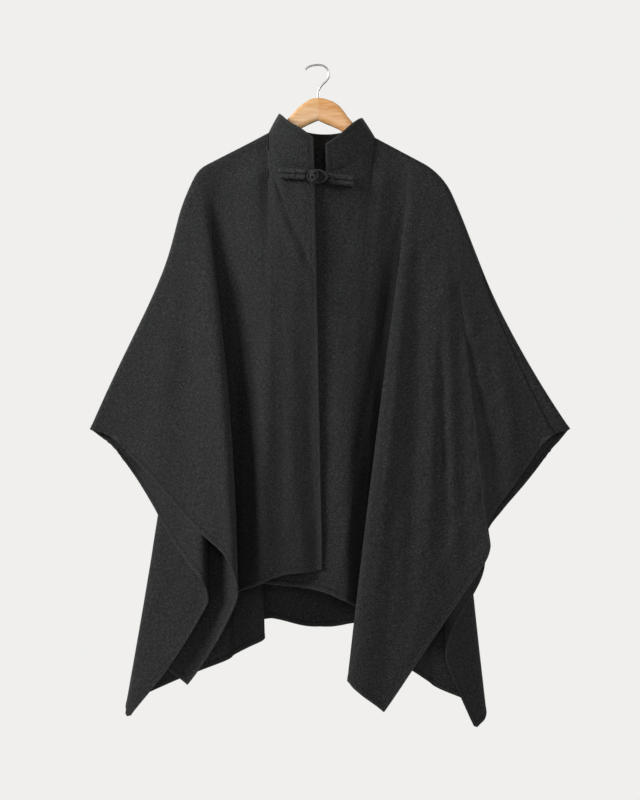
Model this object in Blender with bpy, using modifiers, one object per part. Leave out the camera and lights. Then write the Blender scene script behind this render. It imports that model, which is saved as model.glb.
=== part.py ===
# Wool poncho with a stand collar and a cloth frog closure, on a wooden hanger with a wire hook.
# Metres, +Z up, the front towards -Y. The origin is where the hook bears on the pin that holds it.
# Left and right are as seen from the front: left is -X.

import bmesh
import bpy
import numpy as np

MM = 0.001

# Cloth
WALL = 2.2 * MM
SEAM_GAP = 0.3 * MM
EDGE_GAP = 0.55 * MM

# Flat cut, from the neck point: across (from the centre line) and down
NECK_HALF_WIDTH = 90 * MM
SHOULDER_SLOPE = np.radians(24)
SEAM_LENGTH = 657 * MM
NECK_DROP = {"front": 67 * MM, "back": 25 * MM}
CENTRE_LENGTH = {"front": 785 * MM, "back": 875 * MM}
CORNER = {"front": (650 * MM, 880 * MM), "back": (690 * MM, 942 * MM)}
# The right front hangs lower by this, as it has slipped on the hanger
RIGHT_FRONT_DROP = 27 * MM

# Rolled top edge, where the cloth passes over the hanger
ROLL = {"front": -9.5 * MM, "back": 9.5 * MM}
ROLL_RADIUS = 9.5 * MM
ROLL_STEPS = (0, 0.9, 3.4, 7.2, 13.5, 25)

# How the top edge hangs, from the neck point along the shoulder and on to the wrist: its lean from
# vertical in degrees, against the distance along it in mm
NECK_POINT = {"left": (-88 * MM, -122 * MM), "right": (102 * MM, -131 * MM)}
EDGE_LEAN = {
    "left": ((0, 61.5), (60, 63), (128, 63), (160, 27), (200, 22), (245, 14), (290, 15), (350, 22),
             (430, 26), (500, 26), (657, 23.5)),
    "right": ((0, 62), (98, 62), (155, 36), (180, 24), (250, 21), (330, 21.5), (420, 27), (500, 29.5),
              (657, 34.5)),
}

# How the neck edge hangs: x, y and z of its middle on each side. The right front laps under the left
# one, past the end of the collar.
NECK_MIDDLE = {
    ("front", "left"): (-7 * MM, -33 * MM, -194.5 * MM),
    ("front", "right"): (-7 * MM, -23 * MM, -199 * MM),
    ("back", "left"): (3 * MM, 12 * MM, -172 * MM),
    ("back", "right"): (3 * MM, 12 * MM, -172 * MM),
}

# Folds. Each row is one line of the cloth from the top edge down to the side edge or the hem:
# start    mm from the neck point along the top edge, negative along the neck edge to its middle
# border   mm from the wrist down the side edge, and then along the hem
# foot_x   where its foot hangs, mm
# foot_y   how far back its foot hangs, mm
# bow      how much more it leans outwards at the top than at the foot, degrees
FRONT_LEFT_FOLDS = (
    ("wrist", 657, 55, -362, -12, 0),
    ("wing", 560, 130, -303, -30, 0),
    ("wing", 460, 200, -255, -47, 0),
    ("wing", 360, 262, -213, -64, 0),
    ("wing", 265, 318, -173, -82, -1),
    ("ridge near", 190, 368, -151, -95, -5),
    ("ridge", 155, 410, -142.7, -88, -9.5),
    ("ridge back", 142, 445, -148, -64, -9),
    ("tuck", 128, 530, -186, -32, -6),
    ("corner", 118, 614, -235.8, -18, -4),
    ("inner turn near", 112, 670, -285, -10, -4),
    ("inner turn", 107, 705, -308, -2, -4),
    ("inner turn far", 102, 735, -304, 6, -4),
    ("behind ridge", 94, 820, -250, 6, -3),
    ("valley", 76, 970, -170, -8, -3),
    ("valley side", 48, 1030, -140, -28, -3),
    ("body ridge", 14, 1075, -114, -49, -2),
    ("neck point", 0, 1100, -98, -49, -1),
    ("body hollow", -26, 1140, -70, -46, -1),
    ("front flute", -62, 1190, -42, -50, 0),
    ("front near", -100, 1235, -12, -47, 0),
    ("front edge", -124, 1271, 7.2, -46, 0),
)
FRONT_RIGHT_FOLDS = (
    ("wrist", 657, 55, 404, -12, 0),
    ("wing", 560, 105, 366, -26, 0),
    ("wing", 450, 150, 337, -38, 0),
    ("second valley", 320, 190, 315, -46, -1),
    ("second ridge", 205, 232, 301, -57, -3),
    ("side flute", 175, 300, 303.7, -55, -3),
    ("wide hollow", 148, 400, 249, -58, -2),
    ("wide flute", 124, 500, 187, -82, -3),
    ("corner", 102, 614, 115.7, -102, -3),
    ("main ridge near", 94, 665, 76, -112, -2),
    ("main ridge", 87, 699, 56.6, -108, -2),
    ("main ridge back", 80, 725, 64, -86, -2),
    ("turn near", 68, 815, 172, -32, -3),
    ("turn", 61, 844, 186, -18, -3),
    ("turn far", 55, 872, 178, -5, -3),
    ("behind ridge", 46, 960, 116, -3, -3),
    ("valley", 30, 1040, 82, -22, -3),
    ("band", 9, 1100, 50, -44, -3),
    ("neck point", 0, 1115, 40, -42, -3),
    ("by the neck", -20, 1142, 14, -39, -3),
    ("under lap", -55, 1186, -27, -31, -4),
    ("under edge near", -95, 1235, -72, -26, -6),
    ("under edge", -124, 1271, -100.8, -24, -8),
)
BACK_LEFT_FOLDS = (
    ("wrist", 657, 60, -365, -1, 0),
    ("wing", 560, 125, -328, 0, 0),
    ("edge bulge", 460, 185, -297, -12, 0),
    ("wing", 370, 240, -273, -25, 0),
    ("wing hollow", 300, 290, -250, -38, -1),
    ("wing", 240, 335, -226, -54, -2),
    ("inner fold near", 205, 370, -206, -66, -3),
    ("inner fold", 188, 402, -197, -59, -4),
    ("inner fold far", 178, 436, -204, -49, -4),
    ("wrap", 155, 560, -268, -35, -3),
    ("corner", 135, 668, -338, -22, -3),
    ("outline fold", 128, 695, -347.6, -4, -3),
    ("outline far", 120, 725, -340, 12, -3),
    ("wall side", 100, 830, -255, 22, -2),
    ("curl near", 85, 925, -170, 21, -2),
    ("curl", 76, 965, -152, 14, -2),
    ("flute", 68, 1020, -122, 1, -2),
    ("flute edge", 58, 1060, -99, 4, -2),
    ("flute back", 50, 1090, -106, 14, -2),
    ("pleat near", 42, 1140, -142, 18, -2),
    ("pleat", 34, 1170, -150, 24, -2),
    ("body", 12, 1236, -104, 27, -1),
    ("neck point", 0, 1253, -90, 26, -1),
    ("neck", -34, 1293, -57, 24, 0),
    ("centre near", -75, 1338, -18, 21, 0),
    ("centre", -98, 1359, 3, 21, 0),
)
BACK_RIGHT_FOLDS = (
    ("wrist", 657, 60, 418, 1, 0),
    ("wing", 570, 120, 378, 2, 0),
    ("wing", 470, 180, 335, -4, 0),
    ("wing hollow", 370, 235, 305, -13, 0),
    ("back flute", 280, 325, 299, -20, -1),
    ("side", 225, 400, 270, -33, -2),
    ("inner fold near", 195, 460, 242, -41, -3),
    ("inner fold", 180, 510, 230.4, -34, -3),
    ("inner fold far", 172, 555, 239.5, -24, -3),
    ("corner", 150, 668, 282.4, -14, -3),
    ("outline fold", 140, 705, 303.9, 0, -3),
    ("outline far", 130, 740, 297, 14, -3),
    ("curl near", 110, 815, 222, 22, -2),
    ("curl", 98, 855, 200, 18, -2),
    ("right flute", 84, 930, 158, 8, -2),
    ("pleat near", 70, 1000, 106, 9, -2),
    ("pleat", 62, 1030, 96, 15, -2),
    ("pleat far", 54, 1060, 104, 21, -2),
    ("pleat back", 42, 1130, 148, 27, -2),
    ("body", 12, 1236, 100, 28, -1),
    ("neck point", 0, 1253, 86, 27, -1),
    ("neck", -34, 1293, 57, 24, 0),
    ("centre near", -75, 1338, 24, 21, 0),
    ("centre", -98, 1359, 3, 21, 0),
)

# Stand collar: its top edge over the neck edge, from the left front edge round to the right one:
# along the neck edge, x, y and z, mm
COLLAR_WALL = 3.0 * MM
COLLAR_RAISE = 2.3 * MM
COLLAR_RAISE_AT_SIDE = 1.8 * MM
COLLAR_TOP = (
    ("left front edge", 0, -9, -47, -138),
    ("left front", 34, -29, -45, -123),
    ("left cheek", 79, -53, -32, -107),
    ("left bend", 110, -66, -15, -93),
    ("left tip", 124, -70, 0, -88),
    ("left back bend", 138, -66, 12, -94),
    ("left back", 174, -42, 21, -110),
    ("back middle", 222, 3, 23, -121),
    ("right back", 270, 50, 22, -116),
    ("right back bend", 306, 76, 13, -101),
    ("right tip", 320, 80, 0, -96),
    ("right bend", 334, 76, -15, -99),
    ("right cheek", 365, 60, -30, -112),
    ("right front", 402, 34, -40, -136),
    ("right front edge", 428, 14, -42, -149),
)
NECK_LENGTH = {"front": 124 * MM, "back": 98 * MM}

# Wooden hanger: sections of its arms. Out from the middle joint, top and depth, mm; where no top is
# given, the section carries the cloth and lies just under it.
ARM_JOINT_X = 0.5 * MM
ARM_THICKNESS = 13 * MM
ARM_SEAT = 1.4 * MM
ARM_SECTIONS = {
    "left": ((0, -58.4, 41), (12, -60, 42), (24, -66.5, 42), (37, -76.5, 41), (56, -97, 37),
             (74, -114, 33), (92, -129, 31), (115, None, 29), (150, None, 26), (190, None, 22),
             (204, None, 17)),
    "right": ((0, -58.4, 41), (12, -60, 42), (28, -66, 42), (42, -77, 41), (58, -98, 37),
              (84, -124, 33), (106, -138, 31), (128, None, 29), (160, None, 26), (194, None, 22),
              (206, None, 17)),
}

# Hook: its wire, and its middle line, x and z in mm
WIRE = 3.6 * MM
HOOK_LINE = ((-24, -7.5), (-18, -2.2), (-10, 0.6), (0, 1.8), (10, 0), (17.6, -6.5), (20.5, -16),
             (16.4, -25.8), (7, -35.5), (1.5, -44), (0.5, -50), (0.5, -58.05))

# Frog: two cloth straps, a knot and the loop that holds it, x and z in mm
STRAP_WIDTH = 19.5 * MM
STRAP_THICKNESS = 4.2 * MM
STRAPS = {"left": ((-70, -201.5), (-45, -203.5), (-20.4, -205.5)),
          "right": ((18.4, -210.5), (42, -213), (66, -215.5))}
KNOT_PLACE = (-7, -208.5)
KNOT_RADIUS = 8.0 * MM
KNOT_FLATNESS = 0.8
LOOP_PLACE = (-1, -208.5)
LOOP_HALF_SIZE = (17.1, 11)
LOOP_CORD = 3.6 * MM

CLOTH_COLOUR = (0.024, 0.026, 0.026)
CLOTH_ROUGHNESS = 0.95
WOOD_COLOUR = (0.62, 0.36, 0.15)
METAL_COLOUR = (0.75, 0.75, 0.74)
COLLECTION = "poncho_on_hanger"

# Grid sizes: columns in each gap between folds, and levels down each line
COLUMN_PARTS = 2
LEVELS = 17
COLLAR_COLUMNS = 45
COLLAR_LEVELS = 5


# Curves through tables

def smooth(knots, values, at):
    """Smooth curve through the values: cubic spans whose end slopes are three-point slopes."""
    knots = np.asarray(knots, float)
    values = np.asarray(values, float)
    steps = np.diff(knots)
    slopes = np.diff(values) / steps
    inner = (slopes[:-1] * steps[1:] + slopes[1:] * steps[:-1]) / (steps[:-1] + steps[1:])
    ends = np.concatenate(([slopes[0]], inner, [slopes[-1]]))
    span = np.clip(np.searchsorted(knots, at, side="right") - 1, 0, len(steps) - 1)
    h = steps[span]
    u = (at - knots[span]) / h
    return ((1 + 2 * u) * (1 - u) ** 2 * values[span] + u * (1 - u) ** 2 * h * ends[span]
            + u ** 2 * (3 - 2 * u) * values[span + 1] - u ** 2 * (1 - u) * h * ends[span + 1])


def fall(out, start_x, start_z, length, foot_x, bow, t):
    """A line that falls to a foot at foot_x, bowed sideways by a parabola. out is -1 left, 1 right."""
    lean = np.arcsin(out * (foot_x - start_x) / length)
    bend = 0.5 * np.radians(bow) * t * (1 - t)
    x = start_x + out * length * (t * np.sin(lean) + bend * np.cos(lean))
    z = start_z - length * (t * np.cos(lean) - bend * np.sin(lean))
    return x, z


# The top edge: along the shoulder, and on along the neck edge

def top_edge(side):
    """The hanging top edge of one side as points: steps along it, each at its lean, summed up."""
    out = -1 if side == "left" else 1
    distance = np.linspace(0, SEAM_LENGTH, 439)
    table = np.array(EDGE_LEAN[side], float)
    lean = np.radians(np.interp(distance / MM, table[:, 0], table[:, 1]))
    step = np.diff(distance)
    mid = 0.5 * (lean[:-1] + lean[1:])
    x = NECK_POINT[side][0] + out * np.concatenate(([0], np.cumsum(step * np.sin(mid))))
    z = NECK_POINT[side][1] - np.concatenate(([0], np.cumsum(step * np.cos(mid))))
    return x, z, distance


def edge_distance(side, x, z):
    """Distance of each point from the top edge, seen from the front."""
    edge_x, edge_z, _ = top_edge(side)
    edge_x, edge_z = edge_x[::6], edge_z[::6]
    nearest = np.full(np.shape(x), 1.0)
    for ax, az, bx, bz in zip(edge_x[:-1], edge_z[:-1], edge_x[1:], edge_z[1:]):
        along_x, along_z = bx - ax, bz - az
        part = ((x - ax) * along_x + (z - az) * along_z) / (along_x ** 2 + along_z ** 2)
        part = np.clip(part, 0, 1)
        nearest = np.minimum(nearest, np.hypot(x - ax - part * along_x, z - az - part * along_z))
    return nearest


def neck_edge(face, side, share):
    """The hanging neck edge: share 0 at the neck point, 1 at its middle."""
    neck_x, neck_z = NECK_POINT[side]
    middle_x, middle_y, middle_z = NECK_MIDDLE[face, side]
    turn = np.clip(share, 0, 1) * np.pi / 2
    x = middle_x + (neck_x - middle_x) * np.cos(turn)
    y = middle_y * np.sin(turn)
    z = neck_z + (middle_z - neck_z) * np.sin(turn) ** 1.2
    return x, y, z


def start_points(face, side, start):
    """Where lines start, hanging (x, y, z) and on the flat cut (across, down), for start in metres."""
    edge_x, edge_z, distance = top_edge(side)
    along = np.clip(start, 0, None)
    share = np.clip(-start / NECK_LENGTH[face], 0, 1)
    neck_x, neck_y, neck_z = neck_edge(face, side, share)
    on_neck = start < 0
    x = np.where(on_neck, neck_x, np.interp(along, distance, edge_x))
    z = np.where(on_neck, neck_z, np.interp(along, distance, edge_z))
    y = np.where(on_neck, neck_y, 0)
    across = np.where(on_neck, NECK_HALF_WIDTH * np.cos(share * np.pi / 2),
                      NECK_HALF_WIDTH + along * np.cos(SHOULDER_SLOPE))
    down = np.where(on_neck, NECK_DROP[face] * np.sin(share * np.pi / 2), along * np.sin(SHOULDER_SLOPE))
    return x, y, z, across, down


def border_points(face, side, border):
    """Places on the flat cut: down the side edge from the wrist, then along the hem to the centre."""
    drop = RIGHT_FRONT_DROP if (face, side) == ("front", "right") else 0
    wrist = (NECK_HALF_WIDTH + SEAM_LENGTH * np.cos(SHOULDER_SLOPE), SEAM_LENGTH * np.sin(SHOULDER_SLOPE))
    corner = CORNER[face]
    side_length = np.hypot(corner[0] - wrist[0], corner[1] - wrist[1])
    hem_length = np.hypot(corner[0], corner[1] - CENTRE_LENGTH[face])
    knots = (0, side_length, side_length + hem_length)
    across = np.interp(border, knots, (wrist[0], corner[0], 0))
    down = np.interp(border, knots, (wrist[1], corner[1] + drop, CENTRE_LENGTH[face] + drop))
    return across, down


# Cloth panels

def spread(rows, parts):
    """Row numbers of the columns of a grid: the same parts in each gap between rows."""
    return np.linspace(0, len(rows) - 1, parts * (len(rows) - 1) + 1)


def levels(count, length):
    """How far down each line its points lie: close together over the rolled edge, then even."""
    roll = np.array(ROLL_STEPS) * MM / length[:, None]
    even = np.linspace(0, 1, count - len(ROLL_STEPS) + 1)[None, 1:]
    return np.concatenate((roll, roll[:, -1:] + even * (1 - roll[:, -1:])), axis=1)


def panel_grid(face, side, rows, places, count):
    """Points of a hanging panel, as a grid of columns (places among the rows) by levels."""
    out = -1 if side == "left" else 1
    numbers = np.arange(len(rows))
    start, border, foot_x, foot_y, bow = (
        smooth(numbers, [row[k] for row in rows], places) for k in range(1, 6))
    start, border, foot_x, foot_y = start * MM, border * MM, foot_x * MM, foot_y * MM
    x0, y0, z0, across, down = start_points(face, side, start)
    foot_across, foot_down = border_points(face, side, border)
    length = np.hypot(foot_across - across, foot_down - down)
    t = levels(count, length)
    length = np.sqrt(length ** 2 - foot_y ** 2)
    column = (slice(None), None)
    x, z = fall(out, x0[column], z0[column], length[column], foot_x[column], bow[column], t)
    depth = np.clip(edge_distance(side, x, z), 0, ROLL_RADIUS)
    rolled = ROLL[face] * np.sqrt(1 - (1 - depth / ROLL_RADIUS) ** 2)
    y = rolled * (1 - t) ** 3 + y0[column] * (1 - t) + foot_y[column] * t
    y = y + np.sign(ROLL[face]) * EDGE_GAP
    return np.stack((x, y, z), axis=-1)


def add_object(name, mesh, collection, colour, roughness, metallic=0.0):
    """An object of its own material in the collection."""
    material = bpy.data.materials.new(name)
    material.use_nodes = True
    shader = material.node_tree.nodes["Principled BSDF"]
    shader.inputs["Base Color"].default_value = (*colour, 1)
    shader.inputs["Roughness"].default_value = roughness
    shader.inputs["Metallic"].default_value = metallic
    mesh.materials.clear()
    mesh.materials.append(material)
    piece = bpy.data.objects.new(name, mesh)
    collection.objects.link(piece)
    return piece


def grid_mesh(name, points, closed=False):
    """A mesh of the grid's points: rows of quads, closed across the columns where asked."""
    columns, count = points.shape[:2]
    index = np.arange(columns * count).reshape(columns, count)
    if closed:
        index = np.concatenate((index, index[:, :1]), axis=1)
    quads = np.stack((index[:-1, :-1], index[1:, :-1], index[1:, 1:], index[:-1, 1:]), axis=-1)
    mesh = bpy.data.meshes.new(name)
    mesh.from_pydata(points.reshape(-1, 3).tolist(), [], quads.reshape(-1, 4).tolist())
    return mesh


def add_cloth(name, points, collection, thickness=WALL):
    """A cloth piece: the open surface of the grid, thickened on both sides."""
    piece = add_object(name, grid_mesh(name, points), collection, CLOTH_COLOUR, CLOTH_ROUGHNESS)
    shade_round(piece)
    wall = piece.modifiers.new("Wall", "SOLIDIFY")
    wall.thickness = thickness
    wall.offset = 0
    return piece


def shade_round(piece, angle=50):
    """Smooth shading, with edges sharper than the angle kept sharp."""
    piece.data.shade_smooth()
    piece.data.set_sharp_from_angle(angle=np.radians(angle))


def build_panels(collection):
    """Both fronts and the back. Returns their grids of points."""
    grids = {}
    for name, face, side, rows in (
            ("front_left", "front", "left", FRONT_LEFT_FOLDS),
            ("front_right", "front", "right", FRONT_RIGHT_FOLDS),
            ("back_left_half", "back", "left", BACK_LEFT_FOLDS),
            ("back_right_half", "back", "right", BACK_RIGHT_FOLDS)):
        grids[name] = panel_grid(face, side, rows, spread(rows, COLUMN_PARTS), LEVELS)
    right_half = grids.pop("back_right_half")[::-1]
    grids["back"] = np.concatenate((grids.pop("back_left_half"), right_half[1:]))
    for name, points in grids.items():
        add_cloth(name, points, collection)
    return grids


# Collar

def neck_line(distance):
    """Points of the hanging neck edge, by the distance round it from the left front edge."""
    front, back = NECK_LENGTH["front"], NECK_LENGTH["back"]
    points = np.zeros((len(distance), 3))
    parts = (("front", "left", front - distance, distance <= front),
             ("back", "left", distance - front, (distance > front) & (distance <= front + back)),
             ("back", "right", front + 2 * back - distance,
              (distance > front + back) & (distance < front + 2 * back)),
             ("front", "right", distance - front - 2 * back, distance >= front + 2 * back))
    for face, side, along, chosen in parts:
        x, y, z = neck_edge(face, side, along / NECK_LENGTH[face])
        depth = np.clip(edge_distance(side, x, z), 0, ROLL_RADIUS)
        y = y + ROLL[face] * np.sqrt(1 - (1 - depth / ROLL_RADIUS) ** 2) + np.sign(ROLL[face]) * EDGE_GAP
        points[chosen] = np.stack((x, y, z), axis=-1)[chosen]
    return points


def collar_grid(columns, count):
    """Points of the standing collar: from just over the neck edge up to its top edge."""
    knots = [row[1] * MM for row in COLLAR_TOP]
    distance = np.linspace(knots[0], knots[-1], columns)
    base = neck_line(distance)
    top = np.stack([smooth(knots, [row[k] * MM for row in COLLAR_TOP], distance) for k in (2, 3, 4)], axis=-1)
    front, back = NECK_LENGTH["front"], NECK_LENGTH["back"]
    from_point = np.minimum(abs(distance - front), abs(distance - front - 2 * back))
    base[:, 2] += COLLAR_RAISE + COLLAR_RAISE_AT_SIDE * np.exp(-(from_point / (15 * MM)) ** 2)
    up = np.linspace(0, 1, count)[None, :, None]
    return base[:, None, :] * (1 - up) + top[:, None, :] * up


# Hanger

def loft(name, rings, collection, colour, roughness):
    """A closed solid through rings of points, with a flat face on each end."""
    mesh = grid_mesh(name, rings, closed=True)
    shape = bmesh.new()
    shape.from_mesh(mesh)
    shape.verts.ensure_lookup_table()
    size = rings.shape[1]
    shape.faces.new(shape.verts[:size])
    shape.faces.new(shape.verts[-size:])
    bmesh.ops.recalc_face_normals(shape, faces=shape.faces)
    shape.to_mesh(mesh)
    shape.free()
    piece = add_object(name, mesh, collection, colour, roughness)
    shade_round(piece)
    return piece


def build_arm(side, collection):
    """One wooden arm: rounded sections from the middle joint to just inside the cloth's shoulder."""
    out = -1 if side == "left" else 1
    edge_x, edge_z, _ = top_edge(side)
    order = np.argsort(edge_x)
    rows = []
    for reach, top, depth in ARM_SECTIONS[side]:
        x = ARM_JOINT_X + out * (reach * MM if reach else SEAM_GAP / 2)
        under = np.interp(x, edge_x[order], edge_z[order]) - WALL / 2 - ARM_SEAT
        rows.append((x, under if top is None else top * MM, depth * MM))
    rows = np.array(rows)
    numbers = np.arange(len(rows))
    places = np.linspace(0, len(rows) - 1, 3 * len(rows) - 2)
    x, top, depth = (smooth(numbers, rows[:, k], places) for k in range(3))
    turn = np.linspace(0, 2 * np.pi, 16, endpoint=False) + np.pi / 16
    square = 0.7
    across = np.sign(np.cos(turn)) * abs(np.cos(turn)) ** square
    high = np.sign(np.sin(turn)) * abs(np.sin(turn)) ** square
    rings = np.stack((np.broadcast_to(x[:, None], (len(x), len(turn))),
                      np.broadcast_to(across * ARM_THICKNESS / 2, (len(x), len(turn))),
                      (top - depth / 2)[:, None] + high * depth[:, None] / 2 / high.max()), axis=-1)
    return loft("hanger_arm_" + side, rings, collection, WOOD_COLOUR, 0.35)


def tube(name, points, radius, collection, colour, roughness, metallic=0.0, closed=False, sides=3):
    """A round wire or cord through points."""
    curve = bpy.data.curves.new(name, "CURVE")
    curve.dimensions = "3D"
    curve.bevel_depth = radius
    curve.bevel_resolution = sides
    curve.use_fill_caps = not closed
    line = curve.splines.new("POLY")
    line.points.add(len(points) - 1)
    for place, point in zip(line.points, points):
        place.co = (*point, 1)
    line.use_cyclic_u = closed
    return add_object(name, curve, collection, colour, roughness, metallic)


def build_hook(collection):
    """The wire hook: a smooth line through its points."""
    line = np.array(HOOK_LINE) * MM
    numbers = np.arange(len(line))
    places = np.linspace(0, len(line) - 1, 3 * len(line) - 2)
    points = [(smooth(numbers, line[:, 0], p), 0, smooth(numbers, line[:, 1], p)) for p in places]
    tube("hook", points, WIRE / 2, collection, METAL_COLOUR, 0.3, 1.0)


# Frog closure

def cloth_depth(grid, x, z):
    """Foremost y of a panel's facets at a place seen from the front, 0 where it isn't there."""
    corners = (grid[:-1, :-1], grid[1:, :-1], grid[1:, 1:], grid[:-1, 1:])
    found = []
    for chosen in ((0, 1, 2), (0, 2, 3)):
        a, b, c = (corners[k].reshape(-1, 3) for k in chosen)
        area = (b[:, 0] - a[:, 0]) * (c[:, 2] - a[:, 2]) - (c[:, 0] - a[:, 0]) * (b[:, 2] - a[:, 2])
        area = np.where(abs(area) < 1e-12, 1e-12, area)
        share_b = ((x - a[:, 0]) * (c[:, 2] - a[:, 2]) - (c[:, 0] - a[:, 0]) * (z - a[:, 2])) / area
        share_c = ((b[:, 0] - a[:, 0]) * (z - a[:, 2]) - (x - a[:, 0]) * (b[:, 2] - a[:, 2])) / area
        inside = (share_b >= 0) & (share_c >= 0) & (share_b + share_c <= 1)
        y = a[:, 1] + share_b * (b[:, 1] - a[:, 1]) + share_c * (c[:, 1] - a[:, 1])
        found.extend(y[inside])
    return min(found, default=0)


def build_strap(side, grid, collection):
    """One strap of the frog: two cords side by side, lying on the front."""
    places = np.array(STRAPS[side], float) * MM
    numbers = np.arange(len(places))
    at = np.linspace(0, len(places) - 1, 9)
    x, z = (smooth(numbers, places[:, k], at) for k in range(2))
    half = STRAP_WIDTH / 2
    back = [min(cloth_depth(grid, px, pz + step) for step in (-half, 0, half)) for px, pz in zip(x, z)]
    y = np.array(back) - WALL / 2 - SEAM_GAP - STRAP_THICKNESS / 2
    turn = np.linspace(0, 2 * np.pi, 16, endpoint=False)
    high = np.sin(turn) * half
    waist = 1 - 0.3 * np.cos(np.pi * np.sin(turn)) ** 2 * (abs(np.sin(turn)) < 0.5)
    deep = np.sign(np.cos(turn)) * abs(np.cos(turn)) ** 0.6 * waist * STRAP_THICKNESS / 2
    rings = np.stack((np.broadcast_to(x[:, None], (len(x), len(turn))), y[:, None] + deep,
                      z[:, None] + high), axis=-1)
    loft("frog_strap_" + side, rings, collection, CLOTH_COLOUR, CLOTH_ROUGHNESS)
    return y


def build_frog(grids, collection):
    """The frog closure: straps on both fronts, the knot, and the loop round it."""
    left = build_strap("left", grids["front_left"], collection)
    right = build_strap("right", grids["front_right"], collection)
    depth = min(left[-1], right[0])
    knot_depth = depth + STRAP_THICKNESS / 2 - KNOT_FLATNESS * KNOT_RADIUS
    mesh = bpy.data.meshes.new("frog_knot")
    shape = bmesh.new()
    bmesh.ops.create_uvsphere(shape, u_segments=16, v_segments=10, radius=KNOT_RADIUS)
    for vert in shape.verts:
        vert.co.x += KNOT_PLACE[0] * MM
        vert.co.y = vert.co.y * KNOT_FLATNESS + knot_depth
        vert.co.z += KNOT_PLACE[1] * MM
    shape.to_mesh(mesh)
    shape.free()
    shade_round(add_object("frog_knot", mesh, collection, CLOTH_COLOUR, CLOTH_ROUGHNESS))
    turn = np.linspace(0, 2 * np.pi, 28, endpoint=False)
    points = []
    for a in turn:
        x = (LOOP_PLACE[0] + LOOP_HALF_SIZE[0] * np.cos(a)) * MM
        z = (LOOP_PLACE[1] + LOOP_HALF_SIZE[1] * np.sin(a)) * MM
        cloth = min(cloth_depth(grids[name], x, z) for name in ("front_left", "front_right"))
        points.append((x, min(depth, cloth - WALL / 2 - SEAM_GAP - LOOP_CORD / 2), z))
    tube("frog_loop", points, LOOP_CORD / 2, collection, CLOTH_COLOUR, CLOTH_ROUGHNESS, closed=True, sides=2)


def main():
    for old in list(bpy.data.objects):
        bpy.data.objects.remove(old, do_unlink=True)
    collection = bpy.data.collections.new(COLLECTION)
    bpy.context.scene.collection.children.link(collection)
    grids = build_panels(collection)
    add_cloth("collar", collar_grid(COLLAR_COLUMNS, COLLAR_LEVELS), collection, COLLAR_WALL)
    for side in ("left", "right"):
        build_arm(side, collection)
    build_hook(collection)
    build_frog(grids, collection)


main()
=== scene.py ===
# Looks of a charcoal wool poncho with a stand collar and a cloth frog closure, on a wooden hanger.
# Metres, +Z up, the front towards -Y, left and right as seen from the front. The cloth hangs by the
# same rule as the solids that it replaces, on a finer grid, with its creases, hems and edges.

import bmesh
import bpy
import numpy as np
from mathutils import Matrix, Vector


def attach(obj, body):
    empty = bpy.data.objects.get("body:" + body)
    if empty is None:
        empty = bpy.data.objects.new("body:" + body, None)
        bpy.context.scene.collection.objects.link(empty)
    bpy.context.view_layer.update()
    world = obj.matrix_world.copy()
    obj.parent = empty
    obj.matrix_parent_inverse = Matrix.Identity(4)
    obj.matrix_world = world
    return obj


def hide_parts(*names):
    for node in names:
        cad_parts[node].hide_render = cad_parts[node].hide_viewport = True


bl_info = {
    "name": "Poncho on a Hanger",
    "version": (1, 0, 0),
    "blender": (4, 5, 0),
    "location": "View3D > Sidebar > Poncho",
    "description": "Builds a hanging wool poncho with a stand collar, a frog closure and its hanger",
    "category": "Add Mesh",
}

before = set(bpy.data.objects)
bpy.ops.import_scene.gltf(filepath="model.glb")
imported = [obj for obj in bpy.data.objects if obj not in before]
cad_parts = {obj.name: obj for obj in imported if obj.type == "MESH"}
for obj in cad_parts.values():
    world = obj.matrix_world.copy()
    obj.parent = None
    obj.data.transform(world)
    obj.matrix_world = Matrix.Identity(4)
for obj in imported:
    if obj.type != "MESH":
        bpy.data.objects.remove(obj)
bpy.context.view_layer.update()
BODY = "root"

MM = 0.001

# Cloth, and how far the middle of a wall stands off the plane between fronts and back
WALL = 2.2 * MM
EDGE_GAP = 0.55 * MM

# Flat cut, from the neck point: across (from the centre line) and down
NECK_HALF_WIDTH = 90 * MM
SHOULDER_SLOPE = np.radians(24)
SEAM_LENGTH = 657 * MM
NECK_DROP = {"front": 67 * MM, "back": 25 * MM}
CENTRE_LENGTH = {"front": 785 * MM, "back": 875 * MM}
CORNER = {"front": (650 * MM, 880 * MM), "back": (690 * MM, 942 * MM)}
# The right front hangs lower by this, as it has slipped on the hanger
RIGHT_FRONT_DROP = 27 * MM

# Rolled top edge, where the cloth passes over the hanger
ROLL_RADIUS = 9.5 * MM
ROLL = {"front": -ROLL_RADIUS, "back": ROLL_RADIUS}

# How the top edge hangs, from the neck point along the shoulder and on to the wrist: its lean from
# vertical in degrees, against the distance along it in mm
NECK_POINT = {"left": (-88 * MM, -122 * MM), "right": (102 * MM, -131 * MM)}
EDGE_LEAN = {
    "left": ((0, 61.5), (60, 63), (128, 63), (160, 27), (200, 22), (245, 14), (290, 15), (350, 22),
             (430, 26), (500, 26), (657, 23.5)),
    "right": ((0, 62), (98, 62), (155, 36), (180, 24), (250, 21), (330, 21.5), (420, 27), (500, 29.5),
              (657, 34.5)),
}

# How the neck edge hangs: x, y and z of its middle on each side. The right front laps under the left
# one, past the end of the collar.
NECK_MIDDLE = {
    ("front", "left"): (-7 * MM, -33 * MM, -194.5 * MM),
    ("front", "right"): (-7 * MM, -23 * MM, -199 * MM),
    ("back", "left"): (3 * MM, 12 * MM, -172 * MM),
    ("back", "right"): (3 * MM, 12 * MM, -172 * MM),
}

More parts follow.
